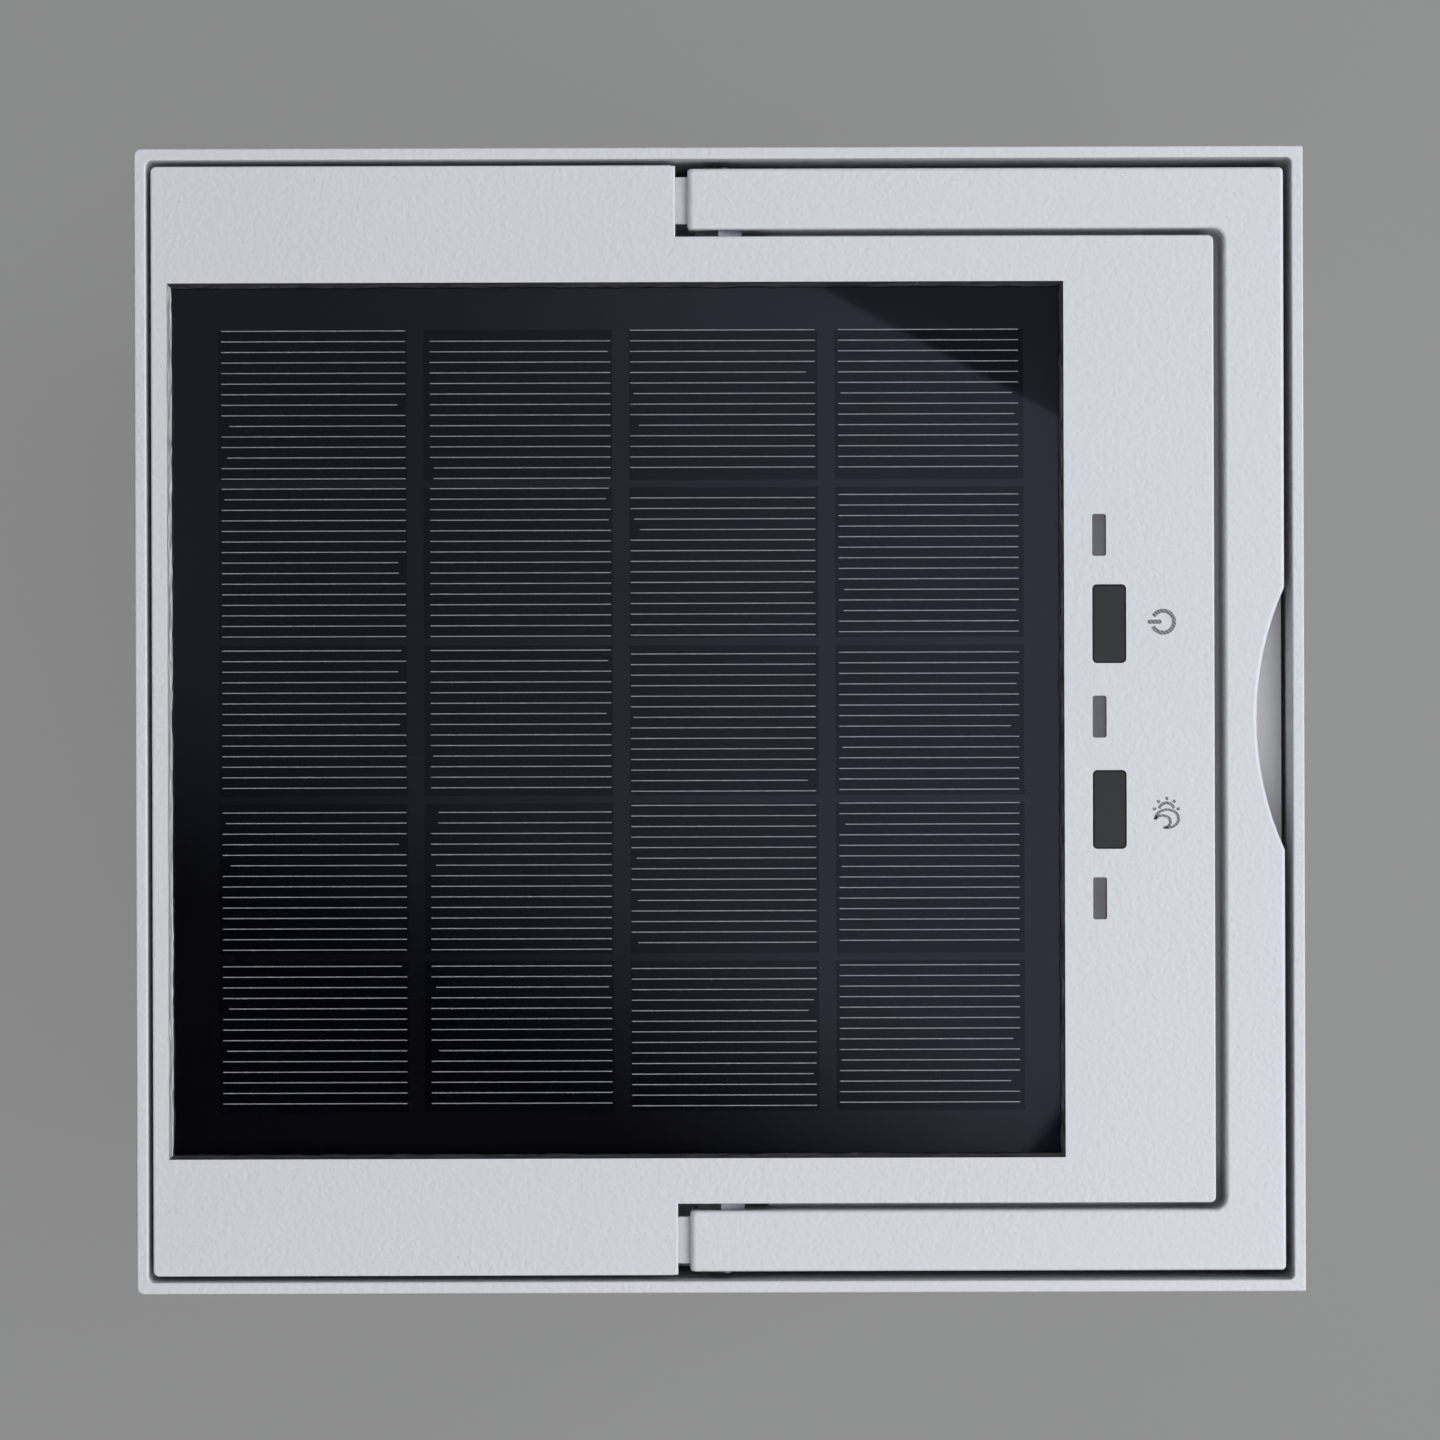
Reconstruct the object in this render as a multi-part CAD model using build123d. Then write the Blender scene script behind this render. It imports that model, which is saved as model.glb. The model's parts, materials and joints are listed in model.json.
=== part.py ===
"""Portable solar lantern with a carry handle that folds flush round its solar module.

A square powder-coated aluminium shell stands on four rubber feet. Opal panes close its four
windows. A sealed solar module drops into the top: solar panel, two keys and three indicator
windows above, battery and driver inside, LED lamp underneath. The handle turns on two bolts.

All sizes are millimetres. The origin is the middle of the footprint at floor level, +Z is up,
and +X points from the handle's hinges towards its grip bar.
"""
import math
import os

from build123d import *

os.makedirs("parts", exist_ok=True)

# ---------------------------------------------------------------- driving dimensions
# Overall
shell_x = 200.0
shell_y = 196.0
total_height = 300.0

# Shell
shell_wall = 2.0
shell_corner_radius = 1.2
seam_corner_radius = 0.4
rim_fillet = 0.3
window_margin = 18.0
window_bottom = 28.0
window_top_margin = 68.0
window_radius = 6.0

# Base, posts and feet
foot_height = 3.0
foot_radius = 9.0
foot_inset = 26.0
foot_fillet = 0.8
base_thickness = 3.0
base_gap = 0.15
post_size = 8.0
post_fillet = 1.5
rail_thickness = 2.0
rail_height = 10.0
rail_end_gap = 4.0

# Panes
pane_thickness = 2.5
pane_gap = 0.1
pane_slot = 3.0
pane_end_gap = 1.0

# Seat frame that carries the module
seat_thickness = 3.0
seat_width = 14.0
module_height = 49.5
rim_drop = 0.5

# Module casing
module_side_gap = 0.8
module_end_gap = 1.0
casing_wall = 2.5
casing_corner_radius = 1.5
casing_inner_radius = 1.0
tray_height = 19.0
gasket_thickness = 1.0
plate_edge_from_pivot = 7.4
platform_corner_radius = 1.0
top_edge_fillet = 0.35

# Handle
handle_side_gap = 1.6
handle_end_gap = 1.3
handle_arm_width = 10.4
handle_bar_width = 10.2
handle_thickness = 11.0
handle_ledge_gap = 0.3
handle_inner_radius = 2.1
handle_outer_radius = 0.8
handle_edge_fillet = 0.6
platform_arm_gap = 1.2
platform_bar_gap = 1.8
notch_width = 45.0
notch_depth = 4.8

# Hinges
pivot_drop = 6.5
handle_tail = 5.3
tail_fillet = 1.0
bolt_radius = 2.5
bolt_running_gap = 0.05
bolt_end = 1.0
bolt_head_flats = 8.0
bolt_head_height = 3.5
hinge_slot_width = 8.0
slot_roof = 2.0
lip_drop = 2.9
lip_thickness = 1.6
lip_reach = 2.7
lip_root = 0.7
ear_width = 7.2
ear_radius = 4.2
ear_stem_left = 0.9
ear_clearance = 1.4
washer_radius = 4.0
washer_thickness = 0.3
bracket_base_thickness = 3.0
bracket_left = 9.5
bracket_right = 7.5
bracket_screw_x = (-6.5, 5.3)
pocket_left = 10.0
pocket_right = 8.2
pocket_depth = 12.0
pocket_roof = 1.4
pocket_head_gap = 1.0

# Solar panel
panel_left_margin = 3.1
panel_side_margin = 8.2
control_strip = 26.1
panel_gap = 0.4
panel_drop = 0.3
glass_thickness = 2.2
cell_thickness = 0.3
backsheet_thickness = 0.5
tape_thickness = 0.3
tape_width = 8.0
pan_floor = 2.0
cell_columns = 4
cell_rows = 5
cell_border_x = 7.3
cell_border_y = 7.6
cell_gap_x = 2.9
cell_gap_y = 1.3
cell_shift_x = 0.9
lead_hole_radius = 4.0

# Keys, indicator windows and their board
key_x = 5.8
key_y = 13.5
key_radius = 0.8
key_gap = 0.15
key_drop = 0.2
key_travel = 0.6
key_flange_margin = 1.4
key_flange_thickness = 0.8
key_flange_gap = 0.3
key_from_panel = 8.1
key_offset_y = 15.9
controls_middle_y = 0.4
window_x = 2.4
window_y = 7.2
window_corner = 0.4
window_pitch = 31.1
window_drop = 0.3
guide_flange_margin = 0.8
guide_flange_thickness = 1.0
switch_size = 6.0
switch_height = 3.5
plunger_radius = 1.75
plunger_gap = 0.1
plunger_depth = 2.0
board_thickness = 1.6
control_board_x = 20.0
control_board_y = 90.0
control_board_inset = 1.0
control_screw_inset = 5.0
indicator_x = 1.6
indicator_y = 3.2
indicator_height = 0.8

# Battery
cell_radius = 9.2
cell_length = 65.0
cell_pitch = 20.0
battery_x = -35.0
cradle_wall = 2.8
cradle_height = 10.0
cradle_floor = 2.0
cradle_gap = 0.1
strap_width = 14.0
strap_thickness = 1.0

# Driver board
driver_x = 50.0
driver_y = 60.0
driver_centre_x = 36.0
driver_standoff = 5.0
driver_screw_inset = 4.0
standoff_radius = 3.0
inductor_size = (12.0, 12.0, 6.0)
inductor_place = (-6.0, 8.0)
chip_size = (6.0, 6.0, 1.6)
chip_place = (-5.0, -7.0)
socket_size = (6.0, 9.0, 6.0)
socket_places = ((15.0, -17.5), (15.0, 16.5))
capacitor_radius = 4.0
capacitor_height = 11.0
capacitor_places = ((8.0, -8.0), (8.0, 2.0))

# Lamp
lamp_board_size = 110.0
lamp_led_columns = 6
lamp_led_pitch = 17.0
lamp_led_x = 2.8
lamp_led_y = 3.5
lamp_led_height = 0.7
lamp_screw_offset = 48.0
lamp_flange_gap = 11.0
lamp_flange_width = 8.0
lamp_flange_thickness = 3.0
lamp_cover_depth = 10.0
lamp_cover_wall = 2.0
lamp_cover_radius = 6.0

# Fasteners: shank radius, head radius, head height
M4 = (2.0, 3.5, 2.4)
M3 = (1.5, 2.75, 2.0)
M25 = (1.25, 2.25, 1.5)
csk_head_radius = 3.0
csk_head_height = 1.7
hole_gap = 0.2
boss_radius = 4.0
boss_inset_x = 5.3
boss_inset_y = 8.2
screw_bite = 9.0
counterbore_depth = 6.0
head_side_gap = 0.45
fixing_inset = 5.8
fixing_offset_y = 60.0
lead_radius = 0.75
lead_pitch = 2.4
lead_bend = 3.0
lead_loop = 6.0
lead_inset = 4.0
panel_lead_clearance = 8.0
battery_lead_y = -20.0
key_lead_y = -6.0
lamp_lead_y = 14.0

# ---------------------------------------------------------------- derived places
inner_x = shell_x - 2 * shell_wall
inner_y = shell_y - 2 * shell_wall
base_top = foot_height + base_thickness
z_top = total_height - rim_drop
z_tray = z_top - module_height
z_tray_rim = z_tray + tray_height
z_cover = z_tray_rim + gasket_thickness
seat_bottom = z_tray - seat_thickness

module_half_x = inner_x / 2 - module_side_gap
module_half_y = inner_y / 2 - module_end_gap
cavity_half_x = module_half_x - casing_wall
cavity_half_y = module_half_y - casing_wall

handle_outer_y = inner_y / 2 - handle_side_gap
handle_inner_y = handle_outer_y - handle_arm_width
handle_outer_x = inner_x / 2 - handle_end_gap
handle_inner_x = handle_outer_x - handle_bar_width
handle_bottom = z_top - handle_thickness
ledge_z = handle_bottom - handle_ledge_gap
platform_half_y = handle_inner_y - platform_arm_gap
platform_right = handle_inner_x - platform_bar_gap
plate_edge = -plate_edge_from_pivot
arm_middle_y = (handle_outer_y + handle_inner_y) / 2

pivot_z = z_top - pivot_drop
pocket_floor = pivot_z - pocket_depth
pocket_inner_y = handle_inner_y - bolt_head_height - pocket_head_gap

panel_left = -module_half_x + panel_left_margin
panel_right = platform_right - control_strip
panel_half_y = platform_half_y - panel_side_margin
panel_middle_x = (panel_left + panel_right) / 2
glass_top = z_top - panel_drop
glass_bottom = glass_top - glass_thickness
cell_bottom = glass_bottom - cell_thickness
backsheet_bottom = cell_bottom - backsheet_thickness
recess_floor = backsheet_bottom - tape_thickness
pan_bottom = recess_floor - pan_floor

strip_left = panel_right + pan_floor + panel_gap
strip_right = platform_right - casing_wall
strip_top = z_top - casing_wall
key_centre_x = panel_right + key_from_panel
key_middles = (controls_middle_y + key_offset_y, controls_middle_y - key_offset_y)
window_centre_x = key_centre_x - key_x / 2 + window_x / 2
window_middles = [controls_middle_y + step * window_pitch for step in (-1, 0, 1)]
key_top = z_top - key_drop
flange_top = strip_top - key_flange_gap
flange_bottom = flange_top - key_flange_thickness
switch_top = flange_bottom - key_travel - 2 * plunger_gap
board_top = switch_top - switch_height
control_board_right = strip_right - control_board_inset
control_board_left = control_board_right - control_board_x
control_screw_x = control_board_right - control_screw_inset
control_screw_y = control_board_y / 2 - control_screw_inset

tray_floor = z_tray + casing_wall
cell_axis_z = tray_floor + cradle_floor + cell_radius + cradle_gap
cradle_half_x = cell_pitch / 2 + cell_radius + cradle_wall
cradle_half_y = cell_length / 2 + cradle_wall
driver_bottom = tray_floor + driver_standoff
driver_top = driver_bottom + board_thickness
driver_left = driver_centre_x - driver_x / 2
lamp_board_bottom = z_tray - board_thickness
lamp_led_bottom = lamp_board_bottom - lamp_led_height
lamp_half_x = inner_x / 2 - seat_width - lamp_flange_gap
lamp_half_y = inner_y / 2 - seat_width - lamp_flange_gap

boss_x = cavity_half_x - boss_inset_x
boss_y = cavity_half_y - boss_inset_y
fixing_x = cavity_half_x - fixing_inset
post_x = (inner_x - post_size) / 2
post_y = (inner_y - post_size) / 2
rail_outer_x = inner_x / 2 - pane_slot
rail_outer_y = inner_y / 2 - pane_slot
rail_half_x = inner_x / 2 - post_size - rail_end_gap
rail_half_y = inner_y / 2 - post_size - rail_end_gap

corners = [(sx, sy) for sx in (-1, 1) for sy in (-1, 1)]
cover_screw_places = [(sx * boss_x, y) for sx in (-1, 1) for y in (-boss_y, 0.0, boss_y)]
fixing_places = [(sx * fixing_x, sy * fixing_offset_y) for sx, sy in corners]
post_places = [(sx * post_x, sy * post_y) for sx, sy in corners]
lamp_screw_places = [(sx * lamp_screw_offset, sy * lamp_screw_offset) for sx, sy in corners]
lamp_cover_places = [
    (sx * (lamp_half_x - lamp_flange_width / 2), sy * (lamp_half_y - lamp_flange_width / 2))
    for sx, sy in corners
]
driver_screw_places = [
    (
        driver_centre_x + sx * (driver_x / 2 - driver_screw_inset),
        sy * (driver_y / 2 - driver_screw_inset),
    )
    for sx, sy in corners
]


# ---------------------------------------------------------------- helpers
def block(x0, x1, y0, y1, z0, z1):
    """A box between two corners."""
    middle = ((x0 + x1) / 2, (y0 + y1) / 2, (z0 + z1) / 2)
    return Pos(*middle) * Box(x1 - x0, y1 - y0, z1 - z0)


def slab(half_x, half_y, z0, z1, radius, middle=(0.0, 0.0)):
    """A plate with rounded upright corners, centred on middle."""
    outline = Pos(middle[0], middle[1], z0) * RectangleRounded(2 * half_x, 2 * half_y, radius)
    return extrude(outline, z1 - z0)


def rod(x, y, z0, z1, radius):
    """An upright cylinder."""
    return Pos(x, y, (z0 + z1) / 2) * Cylinder(radius, z1 - z0)


def rod_y(x, z, y0, y1, radius):
    """A cylinder that lies along Y."""
    return Pos(x, (y0 + y1) / 2, z) * Rot(90, 0, 0) * Cylinder(radius, y1 - y0)


def screw_up(x, y, seat_z, length, size):
    """A pan-head screw that points up, with the top of its head at seat_z."""
    shank, head, head_height = size
    body = rod(x, y, seat_z, seat_z + length, shank)
    cap = rod(x, y, seat_z - head_height, seat_z, head)
    socket = Pos(x, y, seat_z - head_height) * extrude(RegularPolygon(head * 0.45, 6), head_height / 2)
    return body + cap - socket


def rear_and_front(shape):
    """The piece at +Y and its mirror image at -Y."""
    return shape, mirror(shape, Plane.XZ)


def save(node, *pieces):
    """Writes the solids of one node to its own STEP file."""
    solids = [solid for piece in pieces for solid in piece.solids()]
    shape = solids[0] if len(solids) == 1 else Compound(children=solids)
    export_step(shape, f"parts/{node}.step")


# ---------------------------------------------------------------- shell and base
def outer_shell():
    """Four walls. The two corners on the right are welded seams, sharper than the bent ones."""
    body = block(-shell_x / 2, shell_x / 2, -shell_y / 2, shell_y / 2, foot_height, total_height)
    corner_edges = body.edges().filter_by(Axis.Z).group_by(Axis.X)
    body = fillet(corner_edges[0], shell_corner_radius)
    corner_edges = body.edges().filter_by(Axis.Z).group_by(Axis.X)
    body = fillet(corner_edges[-1], seam_corner_radius)
    body = body - slab(inner_x / 2, inner_y / 2, 0, total_height + 1, casing_inner_radius)
    z0, z1 = window_bottom, total_height - window_top_margin
    side = Plane.YZ * Pos(0, (z0 + z1) / 2, -shell_x) * RectangleRounded(
        shell_y - 2 * window_margin, z1 - z0, window_radius
    )
    front = Plane.XZ * Pos(0, (z0 + z1) / 2, -shell_y) * RectangleRounded(
        shell_x - 2 * window_margin, z1 - z0, window_radius
    )
    body = body - extrude(side, 2 * shell_x) - extrude(front, 2 * shell_y)
    rim = body.edges().filter_by_position(Axis.Z, total_height - 0.01, total_height + 0.01)
    return fillet(rim, min(rim_fillet, 0.3 * shell_wall))


def corner_posts():
    posts = []
    for x, y in post_places:
        post = slab(post_size / 2, post_size / 2, base_top, seat_bottom, post_fillet, (x, y))
        post = post - rod(x, y, base_top, base_top + screw_bite, M4[0])
        post = post - rod(x, y, seat_bottom - screw_bite, seat_bottom, M3[0])
        posts.append(post)
    return posts


def rails(z0, z1):
    """Four straight rails that hold the panes' edges from inside."""
    rails_made = []
    for sign in (-1, 1):
        x = sorted((sign * rail_outer_x, sign * (rail_outer_x - rail_thickness)))
        y = sorted((sign * rail_outer_y, sign * (rail_outer_y - rail_thickness)))
        rails_made.append(block(x[0], x[1], -rail_half_y, rail_half_y, z0, z1))
        rails_made.append(block(-rail_half_x, rail_half_x, y[0], y[1], z0, z1))
    return rails_made


def base_plate():
    plate = slab(
        inner_x / 2 - base_gap, inner_y / 2 - base_gap, foot_height, base_top, casing_corner_radius
    )
    for rail in rails(base_top, base_top + rail_height):
        plate = plate + rail
    for x, y in post_places:
        plate = plate - rod(x, y, foot_height - 1, base_top + 1, M4[0] + hole_gap)
    return plate


def base_screws():
    reach = base_thickness + screw_bite - 1
    return [screw_up(x, y, foot_height, reach, M4) for x, y in post_places]


def rubber_feet():
    feet = []
    for sx, sy in corners:
        x, y = sx * (inner_x / 2 - foot_inset), sy * (inner_y / 2 - foot_inset)
        foot = rod(x, y, 0, foot_height, foot_radius)
        feet.append(fillet(foot.edges().group_by(Axis.Z)[0], foot_fillet))
    return feet


def panes():
    """Right, left, rear and front panes."""
    top = seat_bottom - pane_end_gap
    x1 = inner_x / 2 - pane_gap
    y1 = inner_y / 2 - pane_gap
    half_x = inner_x / 2 - post_size - pane_end_gap
    half_y = inner_y / 2 - post_size - pane_end_gap
    right = block(x1 - pane_thickness, x1, -half_y, half_y, base_top, top)
    rear = block(-half_x, half_x, y1 - pane_thickness, y1, base_top, top)
    return right, mirror(right, Plane.YZ), rear, mirror(rear, Plane.XZ)


def seat_frame():
    frame = slab(inner_x / 2, inner_y / 2, seat_bottom, z_tray, shell_corner_radius)
    opening_x, opening_y = inner_x / 2 - seat_width, inner_y / 2 - seat_width
    frame = frame - slab(opening_x, opening_y, seat_bottom - 1, z_tray + 1, casing_inner_radius)
    for rail in rails(seat_bottom - rail_height, seat_bottom):
        frame = frame + rail
    for x, y in post_places:
        frame = frame - csk_screw_body(x, y, hole_gap)
    for x, y in fixing_places:
        frame = frame - rod(x, y, seat_bottom - 1, z_tray + 1, M4[0] + hole_gap)
    return frame


def csk_screw_body(x, y, gap=0.0):
    """A countersunk screw that points down from the seat's top face, grown by gap."""
    head_middle = z_tray - csk_head_height / 2
    head = Pos(x, y, head_middle) * Cone(M3[0] + gap, csk_head_radius + gap, csk_head_height)
    return head + rod(x, y, seat_bottom - screw_bite + 1, z_tray - csk_head_height, M3[0] + gap)


def seat_screws():
    return [csk_screw_body(x, y) for x, y in post_places]


# ---------------------------------------------------------------- module casing
def module_tray():
    tray = slab(module_half_x, module_half_y, z_tray, z_tray_rim, casing_corner_radius)
    tray = tray - slab(cavity_half_x, cavity_half_y, tray_floor, z_tray_rim + 1, casing_inner_radius)
    for x, y in cover_screw_places:
        tray = tray + rod(x, y, tray_floor - 1, z_cover, boss_radius)
    for x, y in fixing_places:
        tray = tray + rod(x, y, tray_floor - 1, z_tray + screw_bite + 2, boss_radius)
    for x, y in lamp_screw_places + lamp_cover_places:
        tray = tray + rod(x, y, tray_floor - 1, z_tray + screw_bite, boss_radius)
    for x, y in driver_screw_places:
        tray = tray + rod(x, y, tray_floor - 1, driver_bottom, standoff_radius)
    for x, y in cover_screw_places:
        tray = tray - rod(x, y, z_tray - 1, z_tray + counterbore_depth, M3[1] + head_side_gap)
        tray = tray - rod(x, y, z_tray, z_cover + 1, M3[0] + hole_gap)
    for x, y in fixing_places:
        tray = tray - rod(x, y, z_tray - 1, z_tray + screw_bite, M4[0])
    for x, y in lamp_screw_places + lamp_cover_places:
        tray = tray - rod(x, y, z_tray - 1, z_tray + screw_bite - 2, M3[0])
    for x, y in driver_screw_places:
        tray = tray - rod(x, y, tray_floor, driver_bottom + 1, M25[0])
    return tray - rod(0, 0, z_tray - 1, tray_floor + 1, lead_hole_radius)


def module_gasket():
    ring = slab(module_half_x, module_half_y, z_tray_rim, z_cover, casing_corner_radius)
    return ring - slab(
        cavity_half_x, cavity_half_y, z_tray_rim - 1, z_cover + 1, casing_inner_radius
    )


def platform(inset, z0, z1, radius):
    """The raised T-shaped part of the cover, drawn in by inset on every side."""
    left = -module_half_x + inset
    step = plate_edge - inset
    right = platform_right - inset
    wide, narrow = module_half_y - inset, platform_half_y - inset
    head = slab((step - left) / 2, wide, z0, z1, radius, ((step + left) / 2, 0))
    body = slab((right - left) / 2, narrow, z0, z1, radius, ((right + left) / 2, 0))
    return head + body


def hinge_pocket(grow=0.0):
    """The space under one arm's end, open to the side, where the hinge works."""
    x0, x1 = -pocket_left - grow, pocket_right + grow
    outer = module_half_y + 1
    under_arm = block(
        plate_edge, x1, platform_half_y, outer, pocket_floor - grow, total_height
    )
    under_plate = block(
        x0, plate_edge, platform_half_y, outer, pocket_floor - grow, z_top - casing_wall + grow
    )
    head_room = block(
        x0, x1, pocket_inner_y - grow, platform_half_y, pocket_floor - grow, z_top - pocket_roof
    )
    return under_arm + under_plate + head_room


def pocket_walls():
    """Material round the hinge pocket, inside the cover's cavity."""
    x0, x1 = -pocket_left - casing_wall, pocket_right + casing_wall
    y0 = pocket_inner_y - casing_wall
    low = block(x0, x1, y0, module_half_y, pocket_floor - casing_wall, ledge_z)
    high = block(x0, x1, y0, platform_half_y, ledge_z, z_top - pocket_roof)
    head = block(x0, plate_edge, y0, module_half_y, ledge_z, z_top - pocket_roof)
    return low + high + head


def module_cover():
    cover = slab(module_half_x, module_half_y, z_cover, ledge_z, casing_corner_radius)
    cover = cover + platform(0, ledge_z - 1, z_top, platform_corner_radius)
    top_edges = cover.edges().filter_by_position(Axis.Z, z_top - 0.01, z_top + 0.01)
    cover = fillet(top_edges, top_edge_fillet)
    low = slab(
        cavity_half_x, cavity_half_y, z_cover - 1, ledge_z - casing_wall, casing_inner_radius
    )
    high = platform(casing_wall, ledge_z - casing_wall - 1, pan_bottom, casing_inner_radius)
    strip = block(
        strip_left, strip_right, -pocket_inner_y + casing_wall, pocket_inner_y - casing_wall,
        pan_bottom - 1, strip_top,
    )
    cover = cover - low - high - strip
    for walls in rear_and_front(pocket_walls()):
        cover = cover + walls
    for pocket in rear_and_front(hinge_pocket()):
        cover = cover - pocket
    cover = cover - panel_recess()
    for x, y in cover_screw_places:
        boss_top = pan_bottom if x < plate_edge else ledge_z - casing_wall
        cover = cover + rod(x, y, z_cover, boss_top + 1, boss_radius)
        cover = cover - rod(x, y, z_cover - 1, z_cover + screw_bite, M3[0])
    for y in (-control_screw_y, control_screw_y):
        cover = cover + rod(control_screw_x, y, board_top, strip_top + 1, standoff_radius)
        cover = cover - rod(control_screw_x, y, board_top - 1, strip_top - 1, M25[0])
    for y in key_middles:
        cover = cover - slab(
            key_x / 2, key_y / 2, strip_top - 1, z_top + 1, key_radius, (key_centre_x, y)
        )
    for y in window_middles:
        cover = cover - slab(
            window_x / 2, window_y / 2, strip_top - 1, z_top + 1, window_corner,
            (window_centre_x, y),
        )
    for sx, y in bracket_screw_places():
        cover = cover - rod(sx, y, pocket_floor - casing_wall - 1, pocket_floor + 1, M3[0] + hole_gap)
    return cover


def panel_recess():
    """The pocket for the solar panel, with the hole for its leads."""
    recess = block(
        panel_left - panel_gap, panel_right + panel_gap,
        -panel_half_y - panel_gap, panel_half_y + panel_gap,
        recess_floor, z_top + 1,
    )
    return recess + rod(panel_middle_x, 0, pan_bottom - 1, recess_floor + 1, lead_hole_radius)


def cover_screws():
    seat = z_tray + counterbore_depth
    return [
        screw_up(x, y, seat, z_cover + screw_bite - 1 - seat, M3) for x, y in cover_screw_places
    ]


def module_fixing_screws():
    reach = seat_thickness + screw_bite - 1
    return [screw_up(x, y, seat_bottom, reach, M4) for x, y in fixing_places]


# ---------------------------------------------------------------- solar panel
def panel_plate(z0, z1, inset=0.0):
    return block(
        panel_left + inset, panel_right - inset, -panel_half_y + inset, panel_half_y - inset, z0, z1
    )


def solar_cells():
    width_x = panel_right - panel_left - 2 * cell_border_x - (cell_columns - 1) * cell_gap_x
    width_y = 2 * (panel_half_y - cell_border_y) - (cell_rows - 1) * cell_gap_y
    size_x, size_y = width_x / cell_columns, width_y / cell_rows
    cells = []
    for column in range(cell_columns):
        for row in range(cell_rows):
            x = panel_left + cell_border_x + cell_shift_x + column * (size_x + cell_gap_x)
            y = -panel_half_y + cell_border_y + row * (size_y + cell_gap_y)
            cells.append(block(x, x + size_x, y, y + size_y, cell_bottom, glass_bottom))
    return cells


def cell_encapsulant(cells):
    sheet = panel_plate(cell_bottom, glass_bottom)
    for cell in cells:
        sheet = sheet - cell
    return sheet


def panel_tape():
    frame = panel_plate(recess_floor, backsheet_bottom)
    return frame - panel_plate(recess_floor - 1, backsheet_bottom + 1, tape_width)


# ---------------------------------------------------------------- keys and indicators
def key(y):
    middle = (key_centre_x, y)
    cap = slab(
        key_x / 2 - key_gap, key_y / 2 - key_gap, flange_bottom, key_top, key_radius - key_gap, middle
    )
    cap = fillet(cap.edges().group_by(Axis.Z)[-1], 0.3)
    flange = slab(
        key_x / 2 + key_flange_margin, key_y / 2 + key_flange_margin,
        flange_bottom, flange_top, key_radius, middle,
    )
    return cap + flange


def plunger(y):
    bottom = switch_top - plunger_depth + key_travel + plunger_gap
    return rod(key_centre_x, y, bottom, flange_bottom, plunger_radius)


def switch_body(y):
    half = switch_size / 2
    body = block(
        key_centre_x - half, key_centre_x + half, y - half, y + half, board_top, switch_top
    )
    return body - rod(key_centre_x, y, switch_top - plunger_depth, switch_top + 1,
                      plunger_radius + plunger_gap)


def light_guides():
    guides = []
    for y in window_middles:
        middle = (window_centre_x, y)
        stem = slab(
            window_x / 2, window_y / 2, board_top + 2 * indicator_height, z_top - window_drop,
            window_corner, middle,
        )
        flange = slab(
            window_x / 2 + guide_flange_margin, window_y / 2 + guide_flange_margin,
            strip_top - guide_flange_thickness, strip_top, window_corner, middle,
        )
        guides.append(stem + flange)
    return guides


def indicator_leds():
    return [
        block(
            window_centre_x - indicator_x / 2, window_centre_x + indicator_x / 2,
            y - indicator_y / 2, y + indicator_y / 2,
            board_top, board_top + indicator_height,
        )
        for y in window_middles
    ]


def control_board():
    board = block(
        control_board_left, control_board_right, -control_board_y / 2, control_board_y / 2,
        board_top - board_thickness, board_top,
    )
    for y in (-control_screw_y, control_screw_y):
        board = board - rod(control_screw_x, y, board_top - 3, board_top + 1, M25[0] + hole_gap)
    return board


def control_board_screws():
    seat = board_top - board_thickness
    reach = strip_top - 2 - seat
    return [
        screw_up(control_screw_x, y, seat, reach, M25) for y in (-control_screw_y, control_screw_y)
    ]


# ---------------------------------------------------------------- battery and driver
def battery_cells():
    half = cell_length / 2
    cells = []
    for sign in (-1, 1):
        x = battery_x + sign * cell_pitch / 2
        cell = rod_y(x, cell_axis_z, -half + 1, half, cell_radius)
        cell = fillet(cell.edges(), 0.8)
        cells.append(cell + rod_y(x, cell_axis_z, -half, -half + 2, cell_radius * 0.4))
    return cells


def battery_cradle():
    cradle = block(
        battery_x - cradle_half_x, battery_x + cradle_half_x, -cradle_half_y, cradle_half_y,
        tray_floor, tray_floor + cradle_floor + cradle_height,
    )
    reach = cell_length / 2 + cradle_gap
    for sign in (-1, 1):
        x = battery_x + sign * cell_pitch / 2
        cradle = cradle - rod_y(x, cell_axis_z, -reach, reach, cell_radius + cradle_gap)
    return cradle


def battery_strap():
    top = cell_axis_z + cell_radius + cradle_gap
    outer = cradle_half_x + strap_thickness
    half = strap_width / 2
    foot = tray_floor + cradle_floor
    hoop = block(battery_x - outer, battery_x + outer, -half, half, foot, top + strap_thickness)
    return hoop - block(
        battery_x - cradle_half_x, battery_x + cradle_half_x, -half - 1, half + 1, foot - 1, top
    )


def driver_board():
    board = block(
        driver_centre_x - driver_x / 2, driver_centre_x + driver_x / 2,
        -driver_y / 2, driver_y / 2, driver_bottom, driver_top,
    )
    for x, y in driver_screw_places:
        board = board - rod(x, y, driver_bottom - 1, driver_top + 1, M25[0] + hole_gap)
    return board


def driver_board_screws():
    """Screws that point down into the standoffs."""
    shank, head, head_height = M25
    return [
        rod(x, y, driver_top, driver_top + head_height, head)
        + rod(x, y, tray_floor + 1, driver_top, shank)
        for x, y in driver_screw_places
    ]


def driver_components():
    """Inductor, capacitors, controller chip and plug sockets, each standing on the board."""
    parts = [block_on_driver(inductor_size, inductor_place), block_on_driver(chip_size, chip_place)]
    for place in socket_places:
        parts.append(block_on_driver(socket_size, place))
    for x, y in capacitor_places:
        top = driver_top + capacitor_height
        parts.append(rod(driver_centre_x + x, y, driver_top, top, capacitor_radius))
    return parts


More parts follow.
